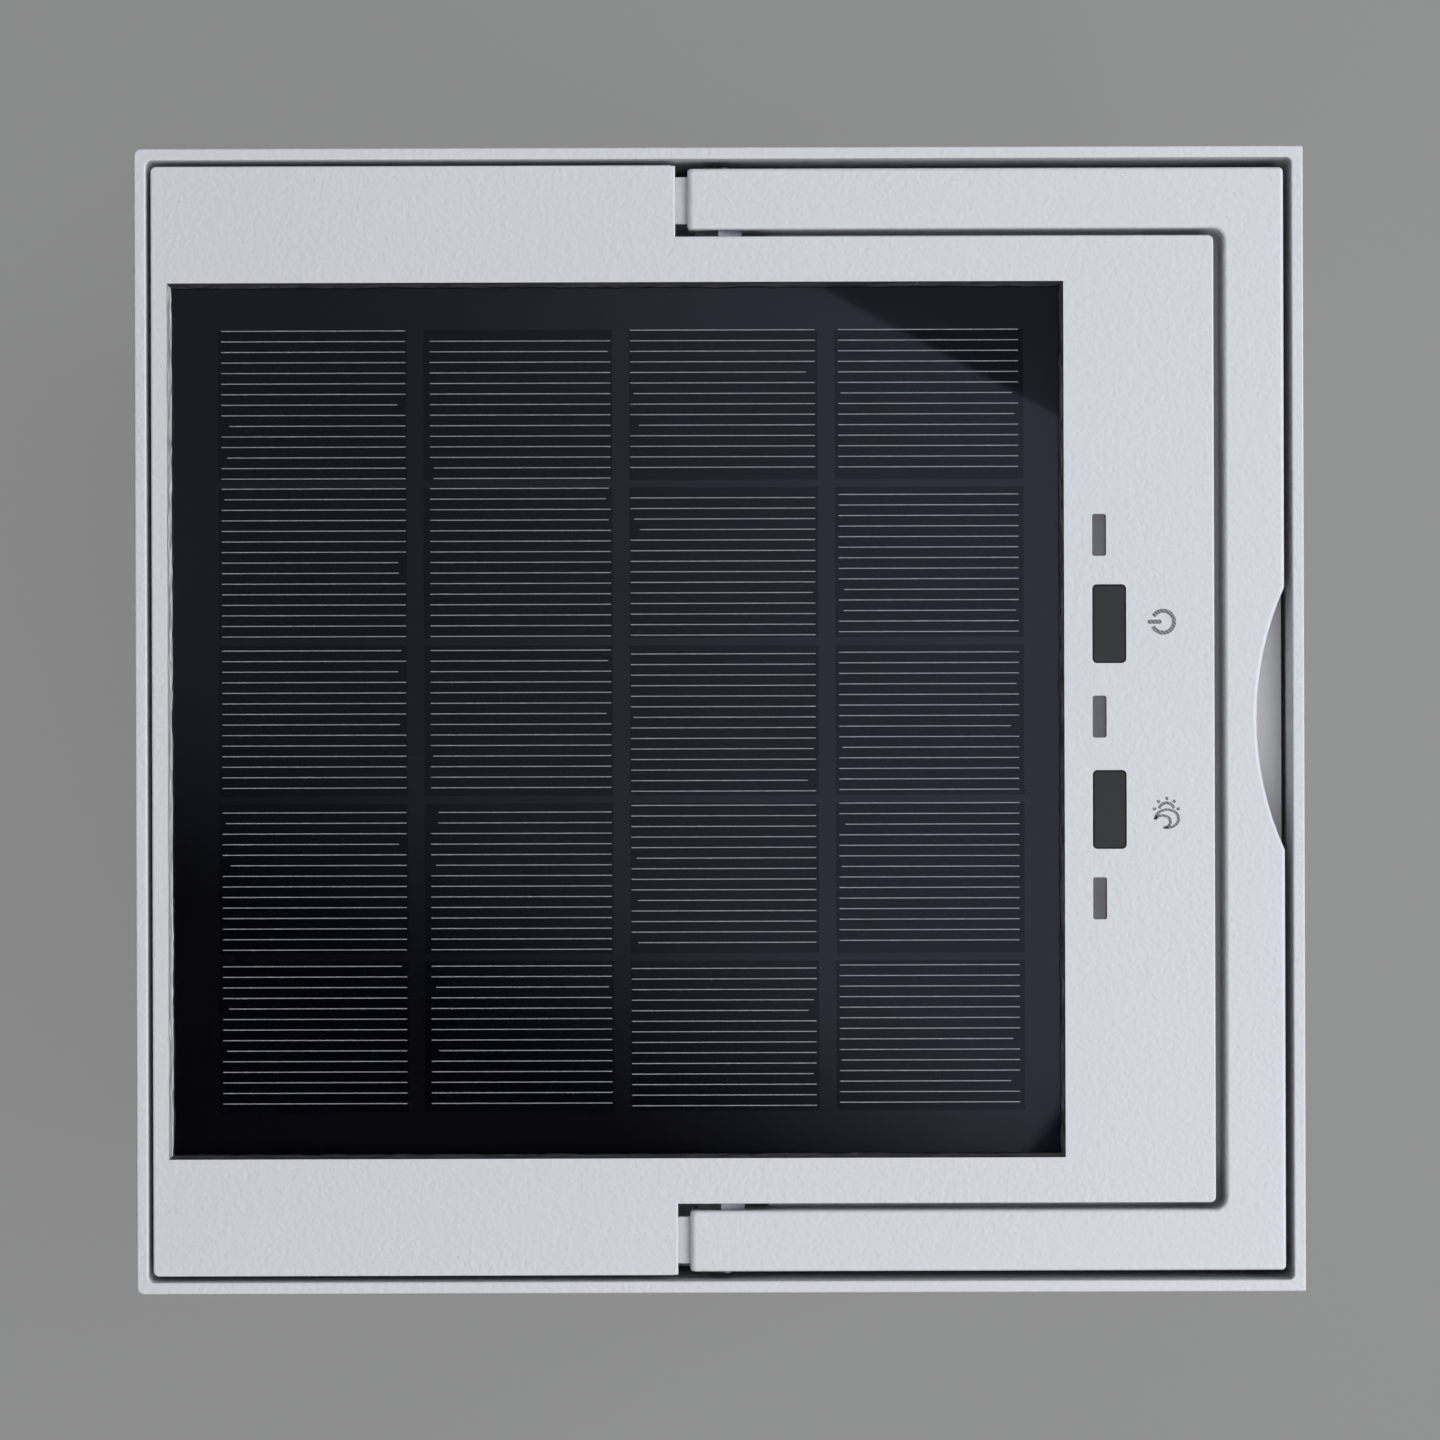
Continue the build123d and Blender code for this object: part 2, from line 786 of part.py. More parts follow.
def block_on_driver(size, place):
    """A block of a size (x, y, height) at a place measured from the driver board's middle."""
    x, y = driver_centre_x + place[0], place[1]
    return block(
        x - size[0] / 2, x + size[0] / 2, y - size[1] / 2, y + size[1] / 2,
        driver_top, driver_top + size[2],
    )


# ---------------------------------------------------------------- lamp
def lamp_board():
    half = lamp_board_size / 2
    board = slab(half, half, lamp_board_bottom, z_tray, 3)
    for x, y in lamp_screw_places:
        board = board - rod(x, y, lamp_board_bottom - 1, z_tray + 1, M3[0] + hole_gap)
    return board


def lamp_leds():
    first = -(lamp_led_columns - 1) * lamp_led_pitch / 2
    places = [first + i * lamp_led_pitch for i in range(lamp_led_columns)]
    return [
        block(x - lamp_led_x / 2, x + lamp_led_x / 2, y - lamp_led_y / 2, y + lamp_led_y / 2,
              lamp_led_bottom, lamp_board_bottom)
        for x in places for y in places
    ]


def lamp_cover():
    flange_z = z_tray - lamp_flange_thickness
    flange = slab(lamp_half_x, lamp_half_y, flange_z, z_tray, lamp_cover_radius)
    dish_x, dish_y = lamp_half_x - lamp_flange_width, lamp_half_y - lamp_flange_width
    dish = slab(dish_x, dish_y, z_tray - lamp_cover_depth, flange_z + 1, lamp_cover_radius)
    dish = fillet(dish.edges().group_by(Axis.Z)[0], 2.0)
    cover = flange + dish - slab(
        dish_x - lamp_cover_wall, dish_y - lamp_cover_wall,
        z_tray - lamp_cover_depth + lamp_cover_wall, z_tray + 1,
        lamp_cover_radius - lamp_cover_wall,
    )
    for x, y in lamp_cover_places:
        cover = cover - rod(x, y, flange_z - 1, z_tray + 1, M3[0] + hole_gap)
    return cover


# ---------------------------------------------------------------- handle and hinges
def handle():
    """A U cut from thick plate, with a slot in each end for the hinge ear."""
    length = handle_outer_x + handle_tail
    outline = Pos((handle_outer_x - handle_tail) / 2, 0) * Rectangle(length, 2 * handle_outer_y)
    inside_length = handle_inner_x + handle_tail + 10
    inside = Pos(handle_inner_x - inside_length / 2, 0) * RectangleRounded(
        inside_length, 2 * handle_inner_y, handle_inner_radius
    )
    notch_radius = (notch_width**2 / 4 + notch_depth**2) / (2 * notch_depth)
    notch = Pos(handle_outer_x - notch_depth + notch_radius, 0) * Circle(notch_radius)
    body = extrude(Pos(0, 0, handle_bottom) * (outline - inside - notch), handle_thickness)
    far_corners = body.edges().filter_by(Axis.Z).filter_by_position(
        Axis.X, handle_outer_x - 0.01, handle_outer_x + 0.01
    )
    far_corners = [edge for edge in far_corners if abs(edge.center().Y) > handle_inner_y]
    body = fillet(far_corners, handle_outer_radius)
    tail_edges = body.edges().filter_by_position(Axis.X, -handle_tail - 0.01, -handle_tail + 0.01)
    body = fillet(tail_edges.filter_by(Axis.Y).group_by(Axis.Z)[-1], tail_fillet)
    for sign in (-1, 1):
        body = body - hinge_slot(sign) + stop_lip(sign)
    top_edges = body.edges().filter_by_position(Axis.Z, z_top - 0.01, z_top + 0.01)
    body = fillet(top_edges, handle_edge_fillet)
    for sign in (-1, 1):
        y = sorted((sign * (handle_inner_y - 1), sign * (handle_outer_y + 1)))
        body = body - rod_y(0, pivot_z, y[0], y[1], bolt_radius)
    return body


def hinge_slot(sign):
    """The slot that straddles the hinge ear, open at the end and underneath."""
    middle = sign * arm_middle_y
    y0, y1 = middle - hinge_slot_width / 2, middle + hinge_slot_width / 2
    return block(
        -handle_tail - 1, ear_radius + ear_clearance, y0, y1, handle_bottom - 1, z_top - slot_roof
    )


def stop_lip(sign):
    """The lip behind a slot, which swings down and meets the ear's stem when the handle is up."""
    y0 = sign * arm_middle_y - hinge_slot_width / 2
    y1 = y0 + hinge_slot_width
    root = lip_root - handle_tail
    top = z_top - lip_drop
    bottom = top - lip_thickness
    riser = block(-handle_tail, root, y0, y1, bottom, z_top - slot_roof)
    return riser + block(-handle_tail - lip_reach, root, y0, y1, bottom, top)


def hinge_bracket():
    """The bracket at +Y: a foot on the pocket floor and a round-topped ear round the bolt."""
    y0, y1 = arm_middle_y - ear_width / 2, arm_middle_y + ear_width / 2
    foot_top = pocket_floor + bracket_base_thickness
    foot = block(-bracket_left, bracket_right, y0, y1, pocket_floor, foot_top)
    ear = block(-ear_stem_left, ear_radius, y0, y1, pocket_floor, pivot_z)
    ear = ear + rod_y(0, pivot_z, y0, y1, ear_radius)
    bracket = foot + ear - rod_y(0, pivot_z, y0 - 1, y1 + 1, bolt_radius + bolt_running_gap)
    for x in bracket_screw_x:
        bracket = bracket - rod(x, arm_middle_y, pocket_floor - 1, foot_top + 1, M3[0])
    return bracket


def bracket_screw_places():
    return [(x, sign * arm_middle_y) for x in bracket_screw_x for sign in (-1, 1)]


def bracket_screws():
    seat = pocket_floor - casing_wall
    reach = casing_wall + bracket_base_thickness
    return [screw_up(x, y, seat, reach, M3) for x, y in bracket_screw_places()]


def pivot_bolt():
    """The bolt at +Y: hexagon head towards the middle, plain end just past the arm."""
    shank = rod_y(0, pivot_z, handle_inner_y, handle_outer_y + bolt_end, bolt_radius)
    shank = chamfer(shank.edges().group_by(Axis.Y)[-1], 0.4)
    hexagon = Plane.XZ * Pos(0, pivot_z) * RegularPolygon(
        bolt_head_flats / 2, 6, major_radius=False, rotation=30
    )
    head = Pos(0, handle_inner_y, 0) * extrude(hexagon, bolt_head_height)
    return shank + head


def hinge_washers():
    """A friction washer on each face of each ear."""
    washers = []
    for sign in (-1, 1):
        for side in (-1, 1):
            face = sign * arm_middle_y + side * ear_width / 2
            y0, y1 = sorted((face, face + side * washer_thickness))
            disc = rod_y(0, pivot_z, y0, y1, washer_radius)
            washers.append(disc - rod_y(0, pivot_z, y0 - 1, y1 + 1, bolt_radius + 2 * bolt_running_gap))
    return washers


# ---------------------------------------------------------------- internal leads
def lead(points, radius):
    """A round lead along straight runs joined by tangent arcs."""
    path = FilletPolyline(*points, radius=radius)
    section = Plane(origin=path @ 0, z_dir=path % 0) * Circle(lead_radius)
    return sweep(section, path)


def lead_pair(points, radius):
    """Two leads side by side."""
    other = [(x, y + lead_pitch, z) for x, y, z in points]
    return [lead(points, radius), lead(other, radius)]


def panel_leads():
    """From the back of the solar panel over the battery to the driver board."""
    start = panel_middle_x
    end = driver_left + lead_inset
    over = cell_axis_z + cell_radius + panel_lead_clearance
    y = -lead_pitch / 2
    points = [
        (start, y, backsheet_bottom), (start, y, over), (end, y, over), (end, y, driver_top)
    ]
    return lead_pair(points, 2 * lead_bend)


def battery_leads():
    """From the battery cradle's side up onto the driver board."""
    start, y = battery_x + cradle_half_x, battery_lead_y
    end = driver_left + lead_inset
    low, high = tray_floor + lead_loop, driver_top + lead_loop
    points = [
        (start, y, low), ((start + end) / 2, y, low), ((start + end) / 2 + lead_inset, y, high),
        (end, y, high), (end, y, driver_top),
    ]
    return lead_pair(points, 0.6 * lead_bend)


def key_leads():
    """From the control board down to the driver board."""
    start, y = control_board_left + lead_inset, key_lead_y
    end = driver_centre_x + driver_x / 2 - lead_inset
    top = board_top - board_thickness
    middle = (top + driver_top) / 2
    points = [
        (start, y, top), (start, y, middle), (end, y, middle - lead_loop / 2), (end, y, driver_top)
    ]
    return lead_pair(points, lead_bend)


def lamp_leads():
    """Two leads that rise through the tray and turn over to the driver board."""
    end = driver_left + lead_inset
    leads = []
    for offset in (0.0, lead_pitch):
        high, y = driver_top + lead_loop + offset, lamp_lead_y + offset
        points = [(-offset, 0.5, z_tray), (-offset, 0.5, high), (end, y, high), (end, y, driver_top)]
        leads.append(lead(points, lead_bend))
    return leads


# ---------------------------------------------------------------- the model
def main():
    save("outer_shell", outer_shell())
    save("corner_posts", *corner_posts())
    save("base_plate", base_plate())
    save("base_screws", *base_screws())
    save("rubber_feet", *rubber_feet())
    for name, pane in zip(("right", "left", "rear", "front"), panes()):
        save(f"pane_{name}", pane)
    save("seat_frame", seat_frame())
    save("seat_screws", *seat_screws())

    save("module_tray", module_tray())
    save("module_gasket", module_gasket())
    save("module_cover", module_cover())
    save("cover_screws", *cover_screws())
    save("module_fixing_screws", *module_fixing_screws())

    cells = solar_cells()
    save("solar_glass", panel_plate(glass_bottom, glass_top))
    save("solar_cells", *cells)
    save("cell_encapsulant", cell_encapsulant(cells))
    save("panel_backsheet", panel_plate(backsheet_bottom, cell_bottom))
    save("panel_tape", panel_tape())

    for name, y in zip(("power", "mode"), key_middles):
        save(f"{name}_key", key(y))
        save(f"{name}_plunger", plunger(y))
    save("switch_bodies", *[switch_body(y) for y in key_middles])
    save("light_guides", *light_guides())
    save("indicator_leds", *indicator_leds())
    save("control_board", control_board())
    save("control_board_screws", *control_board_screws())

    save("battery_cells", *battery_cells())
    save("battery_cradle", battery_cradle())
    save("battery_strap", battery_strap())
    save("driver_board", driver_board())
    save("driver_board_screws", *driver_board_screws())
    save("driver_components", *driver_components())

    save("lamp_board", lamp_board())
    save("lamp_leds", *lamp_leds())
    save("lamp_board_screws", *[
        screw_up(x, y, lamp_board_bottom, board_thickness + screw_bite - 3, M3)
        for x, y in lamp_screw_places
    ])
    save("lamp_cover", lamp_cover())
    save("lamp_cover_screws", *[
        screw_up(x, y, z_tray - lamp_flange_thickness, lamp_flange_thickness + screw_bite - 3, M3)
        for x, y in lamp_cover_places
    ])

    save("handle", handle())
    for side, bracket, bolt in zip(
        ("rear", "front"), rear_and_front(hinge_bracket()), rear_and_front(pivot_bolt())
    ):
        save(f"hinge_bracket_{side}", bracket)
        save(f"pivot_bolt_{side}", bolt)
    save("bracket_screws", *bracket_screws())
    save("hinge_washers", *hinge_washers())

    save("panel_leads", *panel_leads())
    save("battery_leads", *battery_leads())
    save("key_leads", *key_leads())
    save("lamp_leads", *lamp_leads())


main()
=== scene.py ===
# %% [markdown]
# # A portable solar lantern
# The lantern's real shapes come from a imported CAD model, which is loaded as a fixed frame. This
# lesson gives each of its pieces a finish, and models the small things that CAD leaves out: the
# silver fingers on the solar cells, the sealant, the laser marks and the window seals.

# %% Load the frame
import json
import math
import random

import bmesh
import bpy
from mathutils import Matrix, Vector


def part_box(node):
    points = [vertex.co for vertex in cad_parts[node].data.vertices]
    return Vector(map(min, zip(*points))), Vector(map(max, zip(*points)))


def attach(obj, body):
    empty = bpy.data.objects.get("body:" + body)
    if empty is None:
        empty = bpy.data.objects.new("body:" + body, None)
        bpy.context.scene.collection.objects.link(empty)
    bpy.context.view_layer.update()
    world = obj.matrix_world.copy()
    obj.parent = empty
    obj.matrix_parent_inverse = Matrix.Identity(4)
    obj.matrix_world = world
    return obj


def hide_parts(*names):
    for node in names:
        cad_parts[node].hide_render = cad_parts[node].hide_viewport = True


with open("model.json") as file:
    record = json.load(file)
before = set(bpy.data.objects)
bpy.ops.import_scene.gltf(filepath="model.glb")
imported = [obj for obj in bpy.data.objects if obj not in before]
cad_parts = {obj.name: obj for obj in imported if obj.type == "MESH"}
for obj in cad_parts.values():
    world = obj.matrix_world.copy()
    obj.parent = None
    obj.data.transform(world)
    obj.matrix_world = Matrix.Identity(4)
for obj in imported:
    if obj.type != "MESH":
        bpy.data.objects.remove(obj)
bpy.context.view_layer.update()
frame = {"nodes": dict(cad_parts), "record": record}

nodes_cad = frame["nodes"]
print("pieces from CAD:", len(nodes_cad))

# %% [markdown]
# ## Small helpers
# Blender's operators act on whatever is selected, so every new piece starts with nothing selected.
# A finished piece keeps its object at the origin and its place in its mesh, as the CAD pieces do.

# %% Helpers for modelling
MM = 0.001


def select_only(*objects):
    """Makes these the selected objects, the last one active."""
    bpy.ops.object.select_all(action="DESELECT")
    for item in objects:
        item.select_set(True)
    bpy.context.view_layer.objects.active = objects[-1]


def start_piece(name, primitive, scale=(1.0, 1.0, 1.0), **options):
    """Adds a primitive with nothing else selected, names it and sets its scale."""
    bpy.ops.object.select_all(action="DESELECT")
    primitive(**options)
    piece = bpy.context.object
    piece.name = name
    piece.data.name = name
    piece.scale = scale
    return piece


def bake_place(piece):
    """Moves a piece's place, turn and scale into its mesh."""
    select_only(piece)
    bpy.ops.object.transform_apply(location=True, rotation=True, scale=True)


def apply_all(piece):
    """Applies every modifier in order."""
    select_only(piece)
    for modifier in list(piece.modifiers):
        bpy.ops.object.modifier_apply(modifier=modifier.name)


def edit(piece, mode="FACE"):
    """Opens a piece in edit mode with nothing selected."""
    select_only(piece)
    bpy.ops.object.mode_set(mode="EDIT")
    bpy.ops.mesh.select_mode(type=mode)
    bpy.ops.mesh.select_all(action="DESELECT")


def pick(kind, test):
    """Selects the faces, edges or verts of the open mesh that pass a test."""
    mesh = bmesh.from_edit_mesh(bpy.context.object.data)
    for item in [item for item in getattr(mesh, kind) if test(item)]:
        item.select_set(True)
    bmesh.update_edit_mesh(bpy.context.object.data)


def close(piece):
    """Leaves edit mode and reports the mesh."""
    bpy.ops.object.mode_set(mode="OBJECT")
    print(piece.name, "faces:", len(piece.data.polygons))
    return piece


def join(name, pieces):
    """Joins several pieces into one."""
    select_only(*pieces)
    bpy.ops.object.join()
    whole = bpy.context.object
    whole.name = name
    whole.data.name = name
    return whole


# %% [markdown]
# ## Camera
# The lantern is seen from straight above, about a metre over its top. A long lens keeps the walls
# almost edge-on, with just a little of the inside of the rim showing on every side.

# %% Camera
_, shell_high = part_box("outer_shell")
rim_z = shell_high.z
camera_height = 0.95
view_width = 0.2463
sensor_width = 36.0
camera_offset = Vector((0.0, -0.012, 0.0))
bpy.ops.object.camera_add(location=(camera_offset.x, camera_offset.y, rim_z + camera_height))
camera = bpy.context.object
camera.name = "camera_above"
camera.data.sensor_width = sensor_width
camera.data.lens = sensor_width * camera_height / view_width
camera.data.shift_x = -camera_offset.x / view_width
camera.data.shift_y = -camera_offset.y / view_width
camera.data.clip_start = 0.01
camera.rotation_euler.z = math.radians(-0.17)
bpy.context.scene.camera = camera
print("lens, mm:", round(camera.data.lens, 1))

# %% [markdown]
# ## Floor
# A plain grey sheet, wide enough to fill every view. It is staged, because it isn't part of the
# lantern.

# %% Floor
floor = start_piece("floor", bpy.ops.mesh.primitive_plane_add, size=12.0)
edit(floor)
pick("faces", lambda face: True)
bpy.ops.mesh.subdivide(number_cuts=3)
close(floor)

# %% [markdown]
# ## Light
# A neutral light hangs above and lights what faces up. A cool one stands to the right and a warm
# one high in front, and they light the left and rear walls down inside the gaps, while the gap at
# the front stays dark. Two weak ones fill in. The one above is hidden from mirrors and from rays
# that pass through glass, so that the panel doesn't show it.

# %% Softboxes
aim = Vector((0.0, 0.0, 0.22))


def softbox(name, place, size, watts, tint):
    """A square area light that looks at the lantern."""
    bpy.ops.object.light_add(type="AREA", location=place)
    lamp = bpy.context.object
    lamp.name = name
    lamp.data.shape = "SQUARE"
    lamp.data.size = size
    lamp.data.energy = watts
    lamp.data.color = tint
    lamp.rotation_euler = (aim - Vector(place)).to_track_quat("-Z", "Y").to_euler()
    return lamp


sky_above = softbox("sky_above", (0.45, 0.10, 1.85), 1.0, 7.0, (0.98, 0.98, 0.985))
sky_above.visible_glossy = False
sky_above.visible_transmission = False
softbox("key_right", (1.25, 0.05, 1.15), 1.0, 13.6, (0.92, 0.965, 1.07))
softbox("front_high", (0.45, -1.00, 1.85), 1.1, 13.0, (1.0, 0.985, 0.96))
softbox("fill_left", (-1.35, 0.10, 1.20), 1.2, 1.2, (0.90, 0.96, 1.06))
softbox("fill_rear", (0.10, 1.40, 1.30), 1.1, 1.8, (0.97, 0.98, 1.0))

world = bpy.data.worlds.new("studio_dark")
bpy.context.scene.world = world
world.use_nodes = True
world.node_tree.nodes["Background"].inputs["Color"].default_value = (0.80, 0.84, 1.0, 1.0)
world.node_tree.nodes["Background"].inputs["Strength"].default_value = 0.012
bpy.context.scene.view_settings.view_transform = "Standard"

# %% [markdown]
# ## What the glass mirrors
# A flat glass looks black until something bright stands where it mirrors it. High above the camera
# hangs a large dim card, which is staged and hidden from the camera itself. Its glow is painted
# further on, brighter to the right and fading out towards the front left corner.

# %% Ceiling card
card_height = 1.6
card_reach = 1.0 + card_height / camera_height
card = start_piece(
    "ceiling_card", bpy.ops.mesh.primitive_plane_add, size=0.9,
    location=(0.0, 0.0, rim_z + card_height),
)
bake_place(card)
edit(card)
pick("faces", lambda face: True)
bpy.ops.mesh.subdivide(number_cuts=3)
close(card)
card.visible_camera = False
card.visible_shadow = False

# %% [markdown]
# ## Node groups that several finishes share
# A shader node group is built once and used in many materials, each with its own values. These put
# out only masks and heights. `coat_grain` is the orange-peel skin of a powder coating,
# `soft_cloud` is a slow drift in tone, `fine_specks` is dust, `drawn_lines` are the streaks of
# rolled or brushed metal, and `edge_mask` finds sharp edges.

# %% Helpers for nodes
OBJECT_SPACE = "Object"


def put(tree, kind, **values):
    """Adds a node and sets the inputs named in values."""
    node = tree.nodes.new(kind)
    for name, value in values.items():
        node.inputs[name.replace("_", " ")].default_value = value
    return node


def sum_node(tree, kind, first, second):
    """A math node of some kind, fed by sockets or numbers."""
    node = tree.nodes.new("ShaderNodeMath")
    node.operation = kind
    for place, source in enumerate((first, second)):
        if isinstance(source, (int, float)):
            node.inputs[place].default_value = source
        else:
            tree.links.new(source, node.inputs[place])
    return node.outputs[0]


def new_group(name, inputs, outputs):
    """A shader node group with float sockets, and its inner input and output nodes."""
    group = bpy.data.node_groups.new(name, "ShaderNodeTree")
    for label, value in inputs.items():
        socket = group.interface.new_socket(label, in_out="INPUT", socket_type="NodeSocketFloat")
        socket.default_value = value
    for label in outputs:
        group.interface.new_socket(label, in_out="OUTPUT", socket_type="NodeSocketFloat")
    return group, group.nodes.new("NodeGroupInput"), group.nodes.new("NodeGroupOutput")


def place_texture(group, kind, scale_socket=None):
    """A texture node inside a group, on object coordinates."""
    where = group.nodes.new("ShaderNodeTexCoord")
    texture = group.nodes.new(kind)
    group.links.new(where.outputs[OBJECT_SPACE], texture.inputs["Vector"])
    if scale_socket is not None:
        group.links.new(scale_socket, texture.inputs["Scale"])
    return texture


# %% Group: orange-peel grain
coat_grain, goes_in, goes_out = new_group(
    "coat_grain", {"Lumps per metre": 1000.0}, ["Height"]
)
lumps = place_texture(coat_grain, "ShaderNodeTexVoronoi", goes_in.outputs[0])
lumps.feature = "SMOOTH_F1"
lumps.inputs["Smoothness"].default_value = 0.8
doubled = sum_node(coat_grain, "MULTIPLY", goes_in.outputs[0], 1.7)
ripple = place_texture(coat_grain, "ShaderNodeTexNoise", doubled)
ripple.inputs["Detail"].default_value = 3.0
peel = sum_node(coat_grain, "MULTIPLY", lumps.outputs["Distance"], 0.55)
peel = sum_node(coat_grain, "ADD", peel, ripple.outputs["Fac"])
coat_grain.links.new(peel, goes_out.inputs["Height"])

# %% Group: slow drift in tone
soft_cloud, goes_in, goes_out = new_group("soft_cloud", {"Clouds per metre": 14.0}, ["Mask"])
drift = place_texture(soft_cloud, "ShaderNodeTexNoise", goes_in.outputs[0])
drift.inputs["Detail"].default_value = 4.0
soft_cloud.links.new(drift.outputs["Fac"], goes_out.inputs["Mask"])

# %% Group: specks
fine_specks, goes_in, goes_out = new_group(
    "fine_specks", {"Specks per metre": 900.0, "Rarity": 0.74}, ["Mask"]
)
grit = place_texture(fine_specks, "ShaderNodeTexNoise", goes_in.outputs[0])
grit.inputs["Detail"].default_value = 1.0
above = sum_node(fine_specks, "SUBTRACT", grit.outputs["Fac"], goes_in.outputs[1])
sharp = sum_node(fine_specks, "MULTIPLY", above, 14.0)
sharp.node.use_clamp = True
fine_specks.links.new(sharp, goes_out.inputs["Mask"])

# %% Group: drawn lines
drawn_lines, goes_in, goes_out = new_group("drawn_lines", {"Lines per metre": 60.0}, ["Height"])
where = drawn_lines.nodes.new("ShaderNodeTexCoord")
stretch = put(drawn_lines, "ShaderNodeMapping", Scale=(40.0, 1.0, 40.0))
streaks = put(drawn_lines, "ShaderNodeTexNoise", Detail=2.0)
drawn_lines.links.new(where.outputs[OBJECT_SPACE], stretch.inputs["Vector"])
drawn_lines.links.new(stretch.outputs["Vector"], streaks.inputs["Vector"])
drawn_lines.links.new(goes_in.outputs[0], streaks.inputs["Scale"])
drawn_lines.links.new(streaks.outputs["Fac"], goes_out.inputs["Height"])

# %% Group: edge mask
edge_mask, goes_in, goes_out = new_group("edge_mask", {"Gain": 3.0}, ["Mask"])
true_normal = edge_mask.nodes.new("ShaderNodeNewGeometry")
rounded = put(edge_mask, "ShaderNodeBevel", Radius=0.35 * MM)
rounded.samples = 4
compare = edge_mask.nodes.new("ShaderNodeVectorMath")
compare.operation = "DOT_PRODUCT"
edge_mask.links.new(true_normal.outputs["Normal"], compare.inputs[0])
edge_mask.links.new(rounded.outputs["Normal"], compare.inputs[1])
turned = sum_node(edge_mask, "SUBTRACT", 1.0, compare.outputs["Value"])
gained = sum_node(edge_mask, "MULTIPLY", turned, goes_in.outputs[0])
gained.node.use_clamp = True
edge_mask.links.new(gained, goes_out.inputs["Mask"])
print("groups:", [group.name for group in bpy.data.node_groups])

# %% [markdown]
# ## A base for every finish
# Each finish starts from a Principled shader. What is the same all over is set on the shader
# itself. What changes over the surface comes from a group: a tone that drifts between two
# colours, a roughness that drifts between two values, and a bump.

# %% Helpers for finishes
finishes = {}


def start_finish(name, **values):
    """A material with a Principled shader whose plain inputs are set."""
    material = bpy.data.materials.new(name)
    material.use_nodes = True
    shader = material.node_tree.nodes["Principled BSDF"]
    for label, value in values.items():
        shader.inputs[label.replace("_", " ")].default_value = value
    finishes[name] = material
    return material.node_tree, shader


def use_group(tree, group, **values):
    """Places a group in a material with its own values."""
    node = tree.nodes.new("ShaderNodeGroup")
    node.node_tree = group
    for label, value in values.items():
        node.inputs[label.replace("_", " ")].default_value = value
    return node.outputs[0]


def mix_colours(tree, factor, first, second):
    """A colour that goes from first to second as factor goes from 0 to 1."""
    mix = tree.nodes.new("ShaderNodeMix")
    mix.data_type = "RGBA"
    tree.links.new(factor, mix.inputs["Factor"])
    for socket, colour in ((mix.inputs[6], first), (mix.inputs[7], second)):
        if isinstance(colour, tuple):
            socket.default_value = (*colour, 1.0)
        else:
            tree.links.new(colour, socket)
    return mix.outputs[2]


def spread(tree, source, low, high, first=0.3, last=0.7):
    """Maps a mask from the range first to last onto the range low to high."""
    node = put(tree, "ShaderNodeMapRange", From_Min=first, From_Max=last, To_Min=low, To_Max=high)
    tree.links.new(source, node.inputs["Value"])
    return node.outputs["Result"]


def bump(tree, shader, height, depth, strength=1.0):
    """Raises a height of 0 to 1 by depth, in metres, on the shader's normal."""
    node = put(tree, "ShaderNodeBump", Strength=strength, Distance=depth)
    tree.links.new(height, node.inputs["Height"])
    tree.links.new(node.outputs["Normal"], shader.inputs["Normal"])


def vary(tree, shader, mask, first, second, rough_low, rough_high):
    """Lets one mask move both the colour, from first to second, and the roughness."""
    tree.links.new(mix_colours(tree, mask, first, second), shader.inputs["Base Color"])
    tree.links.new(spread(tree, mask, rough_low, rough_high), shader.inputs["Roughness"])


# %% [markdown]
# ## Floor and card
# The floor is matt paper with a trace of tooth, lit a little from below as on a light table, so
# the tall lantern leaves only a soft shadow. The card's glow is a product of smooth slopes. Each is
# measured along a direction in the plane of the glass, because the card's pattern is seen there
# smaller, by the card's reach.

# %% Finish: floor paper
tree, shader = start_finish(
    "floor_paper", Roughness=0.85, Specular_IOR_Level=0.2, Emission_Strength=0.222
)
shader.inputs["Emission Color"].default_value = (1.0, 1.0, 1.0, 1.0)
tone = use_group(tree, soft_cloud, Clouds_per_metre=2.0)
tree.links.new(
    mix_colours(tree, tone, (0.070, 0.070, 0.070), (0.078, 0.078, 0.078)),
    shader.inputs["Base Color"],
)
bump(tree, shader, use_group(tree, coat_grain, Lumps_per_metre=700.0), 0.03 * MM, 0.3)
floor.data.materials.append(finishes["floor_paper"])

# %% Finish: glowing card
material = bpy.data.materials.new("card_glow")
material.use_nodes = True
tree = material.node_tree
tree.nodes.remove(tree.nodes["Principled BSDF"])
where = tree.nodes.new("ShaderNodeTexCoord")


def slope(direction, first, last, low, high):
    """A smooth rise from low to high between two distances, in millimetres on the glass."""
    along = put(tree, "ShaderNodeVectorMath")
    along.operation = "DOT_PRODUCT"
    along.inputs[1].default_value = (*direction, 0.0)
    tree.links.new(where.outputs[OBJECT_SPACE], along.inputs[0])
    reach = MM * card_reach
    result = spread(tree, along.outputs["Value"], low, high, first * reach, last * reach)
    result.node.interpolation_type = "SMOOTHSTEP"
    return result


strength = slope((1.0, 0.0), -75.0, 60.0, 0.10, 0.29)
for dimmer in (
    slope((0.45, 0.89), -66.0, -20.0, 0.0, 1.0),
    slope((-0.48, -0.88), -80.9, -79.5, 0.30, 1.0),
    slope((-0.80, 0.60), -83.5, -80.5, 0.05, 1.0),
):
    strength = sum_node(tree, "MULTIPLY", strength, dimmer)
glow = tree.nodes.new("ShaderNodeEmission")
glow.inputs["Color"].default_value = (0.86, 0.90, 1.20, 1.0)
tree.links.new(strength, glow.inputs["Strength"])
tree.links.new(glow.outputs["Emission"], tree.nodes["Material Output"].inputs["Surface"])
card.data.materials.append(material)

